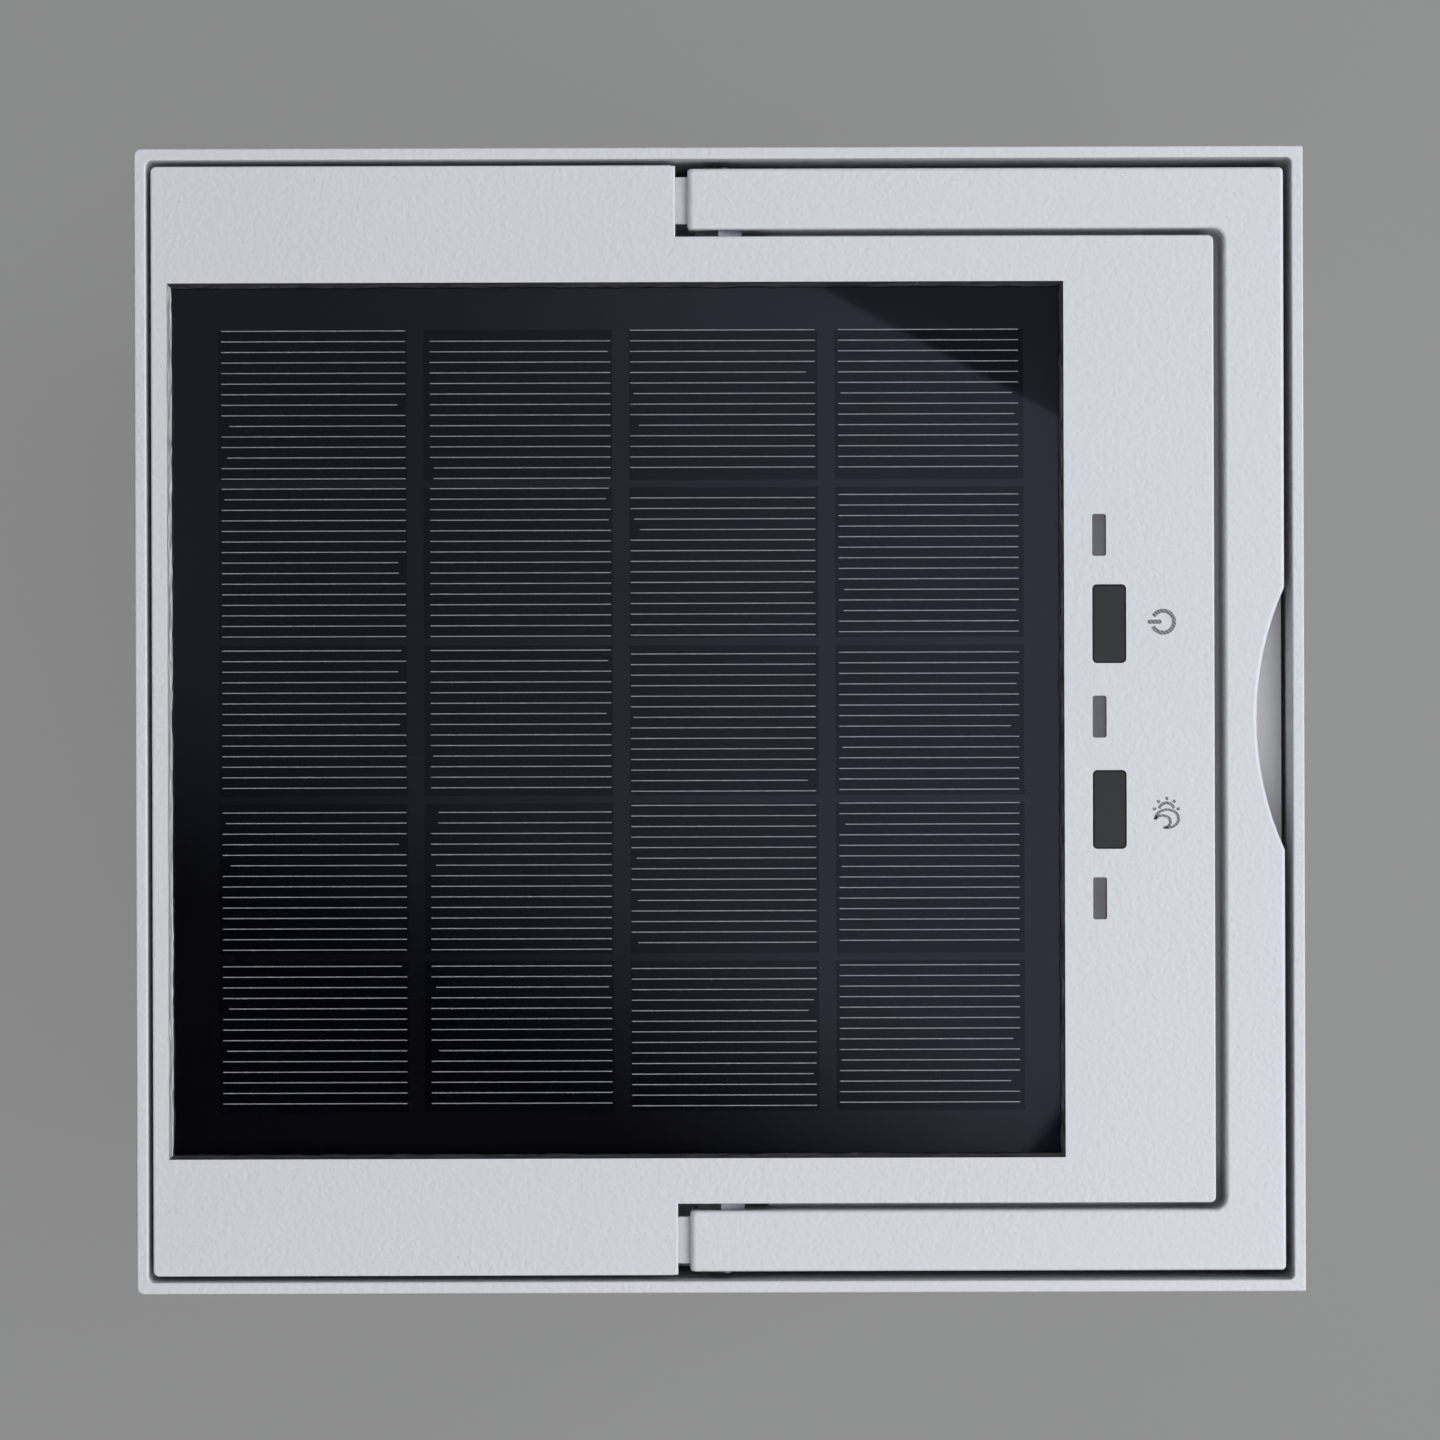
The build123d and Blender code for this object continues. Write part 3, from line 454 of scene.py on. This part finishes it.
# %% [markdown]
# ## White powder coating
# The shell, the module's cover and the handle are aluminium under a white powder coating. Melted
# powder never lies quite flat: it has an orange-peel grain about a millimetre across. The wide
# faces are a little cloudy, and the sharp edges are painted lighter as a painted highlight.

# %% Finish: white coat
tree, shader = start_finish("white_coat", Specular_IOR_Level=0.45)
cloud = use_group(tree, soft_cloud, Clouds_per_metre=16.0)
painted_edge_highlight = use_group(tree, edge_mask, Gain=2.0)
specks = use_group(tree, fine_specks, Specks_per_metre=700.0, Rarity=0.79)
tone = mix_colours(tree, cloud, (0.745, 0.753, 0.776), (0.772, 0.780, 0.803))
# The sharp edges are painted lighter than the coat: a painted highlight.
tone = mix_colours(tree, painted_edge_highlight, tone, (0.83, 0.84, 0.86))
tone = mix_colours(tree, specks, tone, (0.60, 0.61, 0.63))
tree.links.new(tone, shader.inputs["Base Color"])
tree.links.new(spread(tree, cloud, 0.44, 0.54), shader.inputs["Roughness"])
bump(tree, shader, use_group(tree, coat_grain, Lumps_per_metre=800.0), 0.13 * MM, 0.8)

# %% Finish: grey coat of the base
tree, shader = start_finish("base_coat", Specular_IOR_Level=0.4)
cloud = use_group(tree, soft_cloud, Clouds_per_metre=20.0)
specks = use_group(tree, fine_specks, Specks_per_metre=500.0, Rarity=0.70)
tone = mix_colours(tree, cloud, (0.50, 0.51, 0.53), (0.58, 0.59, 0.61))
tone = mix_colours(tree, specks, tone, (0.40, 0.39, 0.37))
tree.links.new(tone, shader.inputs["Base Color"])
tree.links.new(spread(tree, cloud, 0.45, 0.60), shader.inputs["Roughness"])
bump(tree, shader, use_group(tree, coat_grain, Lumps_per_metre=850.0), 0.06 * MM, 0.6)

# %% [markdown]
# ## Bare metals
# The posts, the seat and the hinge brackets are plain rolled aluminium, with streaks along the
# sheet. The tray is cast and blasted, so it has a dull sandy skin. The screws are zinc plated, with
# a faint cloudy tint. The pivot bolts' chrome is painted dark, as painted shade of the hinge slits.

# %% Finishes: aluminium, casting, screws and chrome
tree, shader = start_finish("plain_aluminium", Metallic=1.0)
lines = use_group(tree, drawn_lines, Lines_per_metre=90.0)
vary(tree, shader, lines, (0.62, 0.63, 0.65), (0.78, 0.79, 0.80), 0.28, 0.46)
bump(tree, shader, lines, 0.02 * MM, 0.4)

tree, shader = start_finish("cast_tray", Metallic=0.9)
cloud = use_group(tree, soft_cloud, Clouds_per_metre=30.0)
vary(tree, shader, cloud, (0.52, 0.53, 0.55), (0.62, 0.63, 0.64), 0.55, 0.70)
bump(tree, shader, use_group(tree, coat_grain, Lumps_per_metre=2500.0), 0.05 * MM, 0.8)

tree, shader = start_finish("screw_steel", Metallic=1.0)
cloud = use_group(tree, soft_cloud, Clouds_per_metre=260.0)
vary(tree, shader, cloud, (0.55, 0.57, 0.60), (0.70, 0.70, 0.68), 0.24, 0.42)
bump(tree, shader, use_group(tree, drawn_lines, Lines_per_metre=300.0), 0.01 * MM, 0.4)

tree, shader = start_finish("bolt_chrome", Metallic=1.0)
cloud = use_group(tree, soft_cloud, Clouds_per_metre=320.0)
# Painted shade: the chrome is darkened nearly to black, as the bolts look in the shaded hinge
# slits.
vary(tree, shader, cloud, (0.07, 0.072, 0.08), (0.13, 0.13, 0.135), 0.26, 0.38)
bump(tree, shader, cloud, 0.01 * MM, 0.3)

# %% [markdown]
# ## Rubber and dark plastics
# Feet, gasket and foam are matt and dusty. The keys are moulded silicone with a very fine dry
# grain. Moulded plastics have a spark-eroded texture, finer than the coating's.


# %% Finishes: rubbers and moulded plastics
def moulded(name, dark, light, rough_low, rough_high, lumps_per_metre, depth, specular=0.4):
    """A matt moulded finish with a fine grain, of a depth in millimetres, and some dust."""
    tree, shader = start_finish(name, Specular_IOR_Level=specular)
    cloud = use_group(tree, soft_cloud, Clouds_per_metre=60.0)
    dust = use_group(tree, fine_specks, Specks_per_metre=1100.0, Rarity=0.76)
    tone = mix_colours(tree, cloud, dark, light)
    pale = tuple(min(1.0, value * 1.8 + 0.02) for value in light)
    tree.links.new(mix_colours(tree, dust, tone, pale), shader.inputs["Base Color"])
    tree.links.new(spread(tree, cloud, rough_low, rough_high), shader.inputs["Roughness"])
    grain = use_group(tree, coat_grain, Lumps_per_metre=lumps_per_metre)
    bump(tree, shader, grain, depth * MM, 0.6)


moulded("foot_rubber", (0.030, 0.030, 0.032), (0.050, 0.050, 0.052), 0.70, 0.88, 1800.0, 0.05)
moulded("seal_rubber", (0.022, 0.022, 0.024), (0.036, 0.036, 0.038), 0.60, 0.78, 2200.0, 0.03)
moulded("foam_tape", (0.060, 0.060, 0.060), (0.090, 0.090, 0.090), 0.90, 0.98, 3000.0, 0.12)
moulded("key_rubber", (0.0275, 0.0275, 0.0280), (0.0345, 0.0345, 0.0350), 0.62, 0.74, 3200.0, 0.02)
moulded("black_plastic", (0.016, 0.016, 0.018), (0.026, 0.026, 0.028), 0.38, 0.55, 2600.0, 0.03)
moulded("component_dark", (0.024, 0.024, 0.026), (0.040, 0.040, 0.043), 0.35, 0.55, 2600.0, 0.03)
moulded("strap_fabric", (0.020, 0.020, 0.021), (0.045, 0.045, 0.046), 0.85, 0.97, 1400.0, 0.20)
moulded("washer_nylon", (0.68, 0.67, 0.62), (0.78, 0.77, 0.72), 0.35, 0.50, 2600.0, 0.02)
moulded("backsheet_film", (0.018, 0.018, 0.022), (0.028, 0.028, 0.032), 0.40, 0.55, 1200.0, 0.02)

# %% [markdown]
# ## Opal sheets and the indicator windows
# Opal acrylic scatters light inside itself, so it needs a little subsurface scattering, and a thin
# clear skin of gloss on top. The indicator windows are smoked plastic with a satin face.


# %% Finishes: opal sheets and smoked windows
def opal(name, first, second, roughness):
    """White diffusing acrylic."""
    tree, shader = start_finish(
        name, Subsurface_Weight=0.25, Subsurface_Scale=4.0 * MM, Coat_Weight=0.25,
        Coat_Roughness=0.22, IOR=1.49,
    )
    shader.inputs["Subsurface Radius"].default_value = (1.0, 0.9, 0.75)
    cloud = use_group(tree, soft_cloud, Clouds_per_metre=9.0)
    dust = use_group(tree, fine_specks, Specks_per_metre=600.0, Rarity=0.80)
    tone = mix_colours(tree, cloud, first, second)
    tree.links.new(mix_colours(tree, dust, tone, (0.70, 0.70, 0.68)), shader.inputs["Base Color"])
    drift = spread(tree, cloud, roughness - 0.05, roughness + 0.05)
    tree.links.new(drift, shader.inputs["Roughness"])
    bump(tree, shader, use_group(tree, coat_grain, Lumps_per_metre=420.0), 0.02 * MM, 0.25)


opal("opal_pane", (0.80, 0.80, 0.775), (0.86, 0.86, 0.835), 0.38)
opal("lamp_opal", (0.82, 0.81, 0.77), (0.87, 0.86, 0.83), 0.45)

tree, shader = start_finish("window_smoke", Coat_Weight=0.3, Coat_Roughness=0.2, IOR=1.49)
cloud = use_group(tree, soft_cloud, Clouds_per_metre=240.0)
vary(tree, shader, cloud, (0.105, 0.098, 0.112), (0.150, 0.140, 0.158), 0.34, 0.46)
bump(tree, shader, use_group(tree, coat_grain, Lumps_per_metre=2600.0), 0.02 * MM, 0.5)

# %% [markdown]
# ## Electronics
# Boards wear a glossy solder mask with a faint weave of glass cloth under it. Battery cells are
# wrapped in shrunk plastic film, and the leads have smooth insulation.


# %% Finishes: boards, cells and leads
def glossy(name, first, second, rough_low, rough_high, scale, depth, coat=0.0):
    """A smooth plastic or lacquer."""
    tree, shader = start_finish(name, Coat_Weight=coat, Coat_Roughness=0.1)
    cloud = use_group(tree, soft_cloud, Clouds_per_metre=scale)
    vary(tree, shader, cloud, first, second, rough_low, rough_high)
    bump(tree, shader, cloud, depth, 0.4)


glossy("board_green", (0.012, 0.105, 0.045), (0.022, 0.150, 0.065), 0.26, 0.40, 500.0, 0.02 * MM)
glossy("board_white", (0.80, 0.80, 0.78), (0.86, 0.86, 0.85), 0.28, 0.42, 400.0, 0.02 * MM)
glossy("emitter_yellow", (0.84, 0.66, 0.14), (0.92, 0.76, 0.26), 0.45, 0.60, 900.0, 0.02 * MM)
glossy("cell_wrap", (0.035, 0.17, 0.44), (0.050, 0.21, 0.52), 0.22, 0.34, 120.0, 0.03 * MM, 0.3)
glossy("red_lead", (0.36, 0.018, 0.018), (0.46, 0.030, 0.028), 0.32, 0.46, 300.0, 0.02 * MM)

# %% [markdown]
# ## Solar panel
# The cells are nearly black silicon with a slight blue cast and a very fine etched texture. The
# black film between them is a little lighter. The silver fingers are printed paste. The
# cover glass is clear and smooth, and lets lamps through to what lies under it, so its shader is
# swapped for a transparent one when a shadow is tested.

# %% Finishes: silicon, film and silver paste
tree, shader = start_finish("cell_silicon", Specular_IOR_Level=0.0)
cloud = use_group(tree, soft_cloud, Clouds_per_metre=40.0)
vary(tree, shader, cloud, (0.0008, 0.0008, 0.0022), (0.0016, 0.0016, 0.0034), 0.45, 0.60)
bump(tree, shader, use_group(tree, coat_grain, Lumps_per_metre=5000.0), 0.01 * MM, 0.5)

tree, shader = start_finish("black_encapsulant", Specular_IOR_Level=0.5, IOR=1.5)
cloud = use_group(tree, soft_cloud, Clouds_per_metre=25.0)
vary(tree, shader, cloud, (0.0012, 0.0012, 0.0022), (0.0022, 0.0022, 0.0034), 0.06, 0.12)
bump(tree, shader, use_group(tree, soft_cloud, Clouds_per_metre=80.0), 0.002 * MM, 0.2)

tree, shader = start_finish("silver_paste", Metallic=0.35)
cloud = use_group(tree, soft_cloud, Clouds_per_metre=700.0)
vary(tree, shader, cloud, (0.20, 0.20, 0.215), (0.33, 0.33, 0.345), 0.45, 0.65)
bump(tree, shader, cloud, 0.01 * MM, 0.5)

# %% Finish: cover glass
tree, shader = start_finish("panel_glass", IOR=1.5, Transmission_Weight=1.0)
shader.inputs["Base Color"].default_value = (0.97, 0.98, 1.0, 1.0)
smear = use_group(tree, soft_cloud, Clouds_per_metre=22.0)
tree.links.new(spread(tree, smear, 0.0, 0.012, 0.35, 0.75), shader.inputs["Roughness"])
bump(tree, shader, use_group(tree, soft_cloud, Clouds_per_metre=18.0), 0.002 * MM, 0.1)
passes = tree.nodes.new("ShaderNodeLightPath")
clear = tree.nodes.new("ShaderNodeBsdfTransparent")
swap = tree.nodes.new("ShaderNodeMixShader")
tree.links.new(passes.outputs["Is Shadow Ray"], swap.inputs[0])
tree.links.new(shader.outputs["BSDF"], swap.inputs[1])
tree.links.new(clear.outputs["BSDF"], swap.inputs[2])
tree.links.new(swap.outputs["Shader"], tree.nodes["Material Output"].inputs["Surface"])

# %% [markdown]
# ## Sealant and laser marks
# The sealant is a pale grey silicone. The laser marks are burnt into the coating in
# fine slanting lines, so from a little way off they look mid grey.

# %% Finishes: sealant and laser marks
glossy("sealant_pale", (0.40, 0.40, 0.40), (0.60, 0.60, 0.60), 0.35, 0.55, 300.0, 0.05 * MM)

tree, shader = start_finish("laser_burn", Roughness=0.6)
where = tree.nodes.new("ShaderNodeTexCoord")
hatch = put(tree, "ShaderNodeTexWave", Scale=900.0, Distortion=1.5, Detail=1.0)
hatch.bands_direction = "DIAGONAL"
tree.links.new(where.outputs[OBJECT_SPACE], hatch.inputs["Vector"])
tree.links.new(
    mix_colours(tree, hatch.outputs["Fac"], (0.10, 0.10, 0.115), (0.34, 0.345, 0.37)),
    shader.inputs["Base Color"],
)
bump(tree, shader, hatch.outputs["Fac"], 0.01 * MM, 0.3)

# %% Give each CAD piece its finish
slot_of = {entry["node"]: entry["material_slot"] for entry in frame["record"]["subparts"]}
for node_name, cad_object in nodes_cad.items():
    cad_object.data.materials.clear()
    cad_object.data.materials.append(finishes[slot_of[node_name]])
print("finishes:", len(finishes))


def finish_piece(piece, finish, body):
    """Gives a new piece its finish and its body."""
    piece.data.materials.clear()
    piece.data.materials.append(finishes[finish])
    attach(piece, body)


# %% [markdown]
# ## Cover glass
# The glass is a plate with ground edges. It could be the CAD plate itself, but two touching faces
# confuse a ray, so a new plate stands a hair above the cells, and its arrises are bevelled as a
# glazier would stone them.

# %% Cover glass
glass_low, glass_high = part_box("solar_glass")
hair = 0.06 * MM
corner_cut = 0.8 * MM
arris = 0.3 * MM
glass_size = glass_high - glass_low
glass_middle = (glass_low + glass_high) / 2
glass = start_piece(
    "cover_glass", bpy.ops.mesh.primitive_cube_add, size=1.0,
    location=(
        glass_middle.x, glass_middle.y, glass_middle.z + hair / 2,
    ),
    scale=(glass_size.x, glass_size.y, glass_size.z - hair),
)
bake_place(glass)
edit(glass, "EDGE")
pick("edges", lambda edge: abs(edge.verts[0].co.z - edge.verts[1].co.z) > MM)
bpy.ops.mesh.bevel(offset=corner_cut, segments=3, affect="EDGES")
bpy.ops.mesh.select_all(action="DESELECT")
pick("edges", lambda edge: min(vert.co.z for vert in edge.verts) > glass_high.z - hair)
bpy.ops.mesh.bevel(offset=arris, segments=2, affect="EDGES")
close(glass)
finish_piece(glass, "panel_glass", "lantern")
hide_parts("solar_glass")

# %% [markdown]
# ## Silver fingers
# Each cell carries thin printed lines of silver that gather its current. One line is modelled as a
# flat bar with bevelled edges, an Array modifier repeats it down the cell, and the print is copied
# to each cell. Real cells are laid by hand, so each print starts a little higher or lower, and a
# few of its lines stop short where the paste didn't take.

# %% Silver fingers
finger_pitch = 1.81 * MM
finger_width = 0.14 * MM
finger_height = 0.02 * MM
fingers_per_cell = 14
print_start = [
    [0.1, 0.1, 0.8, 1.5, 0.8],
    [1.9, 0.1, 0.8, 1.5, 0.8],
    [0.1, 1.8, 1.5, 0.4, 1.3],
    [0.1, 1.3, 1.3, 0.1, 0.8],
]
end_gaps = [(0.6, 0.2), (1.1, 0.3), (0.2, 0.5), (0.6, 0.9)]
taller_prints = {(0, 0), (0, 1), (1, 1)}


def cell_corners():
    """The lowest and highest corner of each silicon cell, by column and row from the rear."""
    mesh = bmesh.new()
    mesh.from_mesh(nodes_cad["solar_cells"].data)
    bmesh.ops.remove_doubles(mesh, verts=mesh.verts, dist=0.001 * MM)
    left = set(mesh.verts)
    cells = []
    while left:
        reached, waiting = set(), [left.pop()]
        while waiting:
            vert = waiting.pop()
            reached.add(vert)
            for edge in vert.link_edges:
                other = edge.other_vert(vert)
                if other in left:
                    left.discard(other)
                    waiting.append(other)
        places = [vert.co.copy() for vert in reached]
        low = Vector([min(place[axis] for place in places) for axis in range(3)])
        high = Vector([max(place[axis] for place in places) for axis in range(3)])
        cells.append((low, high))
    mesh.free()
    columns = sorted({round(low.x, 5) for low, _ in cells})
    rows = sorted({round(high.y, 5) for _, high in cells}, reverse=True)
    return {(columns.index(round(low.x, 5)), rows.index(round(high.y, 5))): (low, high)
            for low, high in cells}


cells = cell_corners()
chance = random.Random(11)
broken_ends = 3
prints = []
for (column, row), (low, high) in sorted(cells.items()):
    start_gap, end_gap = end_gaps[column]
    left, right = low.x + start_gap * MM, high.x - end_gap * MM
    first = high.y - print_start[column][row] * MM
    finger = start_piece(
        "finger", bpy.ops.mesh.primitive_cube_add, size=1.0,
        location=((left + right) / 2, first, high.z + finger_height / 2),
        scale=(right - left, finger_width, finger_height),
    )
    bake_place(finger)
    repeat = finger.modifiers.new("repeat", "ARRAY")
    repeat.count = fingers_per_cell + ((column, row) in taller_prints)
    repeat.use_relative_offset = False
    repeat.use_constant_offset = True
    repeat.constant_offset_displace = (0.0, -finger_pitch, 0.0)
    apply_all(finger)
    edit(finger, "VERT")
    for _ in range(broken_ends):
        broken_y = first - finger_pitch * chance.randrange(fingers_per_cell)
        at_left = chance.random() < 0.5
        end_x = left if at_left else right
        pick("verts", lambda vert: abs(vert.co.y - broken_y) < finger_width
             and abs(vert.co.x - end_x) < 0.05 * MM)
        lost = chance.uniform(0.3, 1.6) * MM
        bpy.ops.transform.translate(value=(lost if at_left else -lost, 0.0, 0.0))
        bpy.ops.mesh.select_all(action="DESELECT")
    bpy.ops.object.mode_set(mode="OBJECT")
    prints.append(finger)
fingers = join("silver_fingers", prints)
print("silver fingers:", len(fingers.data.polygons) // 6)
finish_piece(fingers, "silver_paste", "lantern")

# %% [markdown]
# ## Sealant round the glass
# A thin bead of sealant fills the gap between the glass and the cover. It was wiped by hand, so its
# edge wanders. A flat ring is cut into short lengths, and its inner edge is moved a little at
# random, with a fixed seed so that every run is the same. Only the left
# side keeps the pale sealant; the other sides are given black rubber as painted shade.

# %% Sealant bead
_, cover_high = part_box("module_cover")
plate_z = cover_high.z
bead_reach = 0.45 * MM
bead_width = 0.65 * MM
bead_sunk = 0.22 * MM
bead_wander = 0.14 * MM
bead = start_piece(
    "sealant_bead", bpy.ops.mesh.primitive_plane_add, size=1.0,
    location=(glass_middle.x, glass_middle.y, plate_z - bead_sunk),
    scale=(glass_size.x + 2 * bead_reach, glass_size.y + 2 * bead_reach, 1.0),
)
bake_place(bead)
edit(bead)
pick("faces", lambda face: True)
bpy.ops.mesh.inset(thickness=bead_width, depth=0.0)
bpy.ops.mesh.delete(type="FACE")
bpy.ops.mesh.select_all(action="SELECT")
bpy.ops.mesh.subdivide(number_cuts=63)
bpy.ops.mesh.select_all(action="DESELECT")
bpy.ops.mesh.select_mode(type="VERT")
inner_x, inner_y = glass_size.x / 2 + 0.1 * MM, glass_size.y / 2 + 0.1 * MM
pick("verts", lambda vert: abs(vert.co.x - glass_middle.x) < inner_x
     and abs(vert.co.y - glass_middle.y) < inner_y)
bpy.ops.transform.vertex_random(offset=bead_wander, uniform=0.0, normal=0.0, seed=7)
close(bead)
thicken = bead.modifiers.new("thicken", "SOLIDIFY")
thicken.thickness = 0.25 * MM
thicken.offset = -1.0
apply_all(bead)
edit(bead)
# Every side but the left is split off and given black rubber: painted shade.
pick("faces", lambda face: face.calc_center_median().x > glass_low.x + bead_reach)
bpy.ops.mesh.separate(type="SELECTED")
close(bead)
painted_shade_bead = next(item for item in bpy.context.selected_objects if item != bead)
painted_shade_bead.name = "sealant_painted_shade"
painted_shade_bead.data.name = "sealant_painted_shade"
finish_piece(bead, "sealant_pale", "lantern")
finish_piece(painted_shade_bead, "seal_rubber", "lantern")

# %% [markdown]
# ## Laser marks
# Beside each key a small mark says what it does: the usual power sign, turned towards the key, and
# a half sun over a crescent. They are flat strips a few hundredths of a millimetre thick. An arc is
# a circle of vertices with the gap deleted and the rest extruded inwards.

# %% Helpers for marks
mark_z = plate_z + 0.01 * MM
mark_thickness = 0.02 * MM


def arc_strip(name, centre, radius, width, start, end, steps=72):
    """A flat arc from one angle to another, in degrees, counted from +X towards +Y."""
    strip = start_piece(
        name, bpy.ops.mesh.primitive_circle_add, vertices=steps, radius=radius + width / 2,
        location=(centre[0], centre[1], mark_z),
    )
    bake_place(strip)
    edit(strip, "VERT")

    def outside(vert):
        angle = math.degrees(math.atan2(vert.co.y - centre[1], vert.co.x - centre[0]))
        return not (start <= (angle - start) % 360.0 + start <= end)

    pick("verts", outside)
    bpy.ops.mesh.delete(type="VERT")
    bpy.ops.mesh.select_all(action="SELECT")
    bpy.ops.mesh.extrude_edges_move()
    shrink = (radius - width / 2) / (radius + width / 2)
    bpy.ops.transform.resize(
        value=(shrink, shrink, 1.0), center_override=(centre[0], centre[1], mark_z)
    )
    close(strip)
    return strip


def bar_strip(name, centre, length, width, turn):
    """A flat bar turned by an angle in degrees."""
    strip = start_piece(
        name, bpy.ops.mesh.primitive_plane_add, size=1.0, location=(centre[0], centre[1], mark_z),
        rotation=(0.0, 0.0, math.radians(turn)), scale=(length, width, 1.0),
    )
    bake_place(strip)
    edit(strip, "VERT")
    pick("verts", lambda vert: True)
    bpy.ops.mesh.bevel(offset=width * 0.3, segments=2, affect="VERTICES")
    return close(strip)


def finish_mark(name, strips):
    """Joins strips into one mark and gives it a thickness."""
    mark = join(name, strips)
    skin = mark.modifiers.new("skin", "SOLIDIFY")
    skin.thickness = mark_thickness
    skin.offset = 0.0
    apply_all(mark)
    finish_piece(mark, "laser_burn", "lantern")


# %% Power mark
power_low, power_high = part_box("power_key")
line_width = 0.70 * MM
ring_radius = 1.88 * MM
ring_end = 155.0
stroke_length = 2.4 * MM
stroke_shift = 1.45 * MM
power_centre = (power_high.x + 4.9 * MM, (power_low.y + power_high.y) / 2 + 0.3 * MM)
stroke_centre = (power_centre[0] - stroke_shift, power_centre[1])
finish_mark("power_mark", [
    arc_strip("ring", power_centre, ring_radius, line_width, -ring_end, ring_end),
    bar_strip("bar", stroke_centre, stroke_length, line_width, 0.0),
])

# %% Sun and moon mark
mode_low, mode_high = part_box("mode_key")
sun_centre = (mode_high.x + 5.4 * MM, (mode_low.y + mode_high.y) / 2 - 0.2 * MM)
moon_centre = (sun_centre[0] + 0.1 * MM, sun_centre[1] - 1.6 * MM)
sun_line = 0.5 * MM
sun_radius = 1.30 * MM
ray_reach = 2.05 * MM
ray_length = 0.60 * MM
moon_radius = 1.85 * MM
bite_radius = 1.28 * MM
strips = [arc_strip("sun", sun_centre, sun_radius, sun_line, 12.0, 168.0)]
for turn in (8.0, 50.0, 88.0, 131.0, 172.0):
    along = math.radians(turn)
    place = (
        sun_centre[0] + ray_reach * math.cos(along), sun_centre[1] + ray_reach * math.sin(along)
    )
    strips.append(bar_strip("ray", place, ray_length, sun_line, turn))
moon = [arc_strip("moon_back", moon_centre, moon_radius, sun_line, -110.0, 190.0)]
bite_centre = (moon_centre[0] - 0.75 * MM, moon_centre[1] - 0.62 * MM)
moon.append(arc_strip("moon_bite", bite_centre, bite_radius, sun_line, -75.0, 160.0))
select_only(*moon)
bpy.ops.transform.resize(
    value=(1.06, 0.84, 1.0), center_override=(moon_centre[0], moon_centre[1] + 1.2 * MM, mark_z)
)
for crescent in moon:
    bake_place(crescent)
strips += moon
finish_mark("day_night_mark", strips)

# %% [markdown]
# ## Glazing seals
# A black rubber seal runs round each window, between the wall and the opal pane, and shows as a
# thin dark line. A plane the size of the window gets round corners, is inset and
# hollowed, and is given its depth. One function builds it anew for each wall, at that wall's size.

# %% Glazing seals
window_low_z, window_high_z = 0.028, 0.232
window_margin = 18.0 * MM
seal_width = 1.3 * MM
seal_depth = 1.0 * MM
seal_round = 0.3 * MM
window_corner = 6.0 * MM
wall = 2.0 * MM


def window_seal(name, width, turn, distance):
    """A seal for a window of some width, in the wall that faces turn degrees from +X."""
    height = window_high_z - window_low_z
    seal = start_piece(name, bpy.ops.mesh.primitive_plane_add, size=1.0, scale=(width, height, 1.0))
    bake_place(seal)
    edit(seal, "VERT")
    pick("verts", lambda vert: True)
    bpy.ops.mesh.bevel(offset=window_corner, segments=10, affect="VERTICES")
    bpy.ops.mesh.select_all(action="DESELECT")
    bpy.ops.mesh.select_mode(type="FACE")
    pick("faces", lambda face: True)
    bpy.ops.mesh.inset(thickness=seal_width, depth=0.0)
    bpy.ops.mesh.delete(type="FACE")
    close(seal)
    body = seal.modifiers.new("body", "SOLIDIFY")
    body.thickness = seal_depth
    body.offset = 0.0
    round_off = seal.modifiers.new("round_off", "BEVEL")
    round_off.width = seal_round
    round_off.segments = 2
    round_off.limit_method = "ANGLE"
    apply_all(seal)
    seal.rotation_euler = (math.radians(90.0), 0.0, math.radians(turn + 90.0))
    outward = Vector((math.cos(math.radians(turn)), math.sin(math.radians(turn)), 0.0))
    seal.location = outward * (distance - wall + seal_depth / 2)
    seal.location.z = (window_low_z + window_high_z) / 2
    bake_place(seal)
    finish_piece(seal, "seal_rubber", "lantern")


half_x, half_y = shell_high.x, shell_high.y
for side, turn, across, distance in (
    ("right", 0.0, half_y, half_x),
    ("rear", 90.0, half_x, half_y),
    ("left", 180.0, half_y, half_x),
    ("front", 270.0, half_x, half_y),
):
    window_seal(f"glazing_seal_{side}", 2 * (across - window_margin), turn, distance)
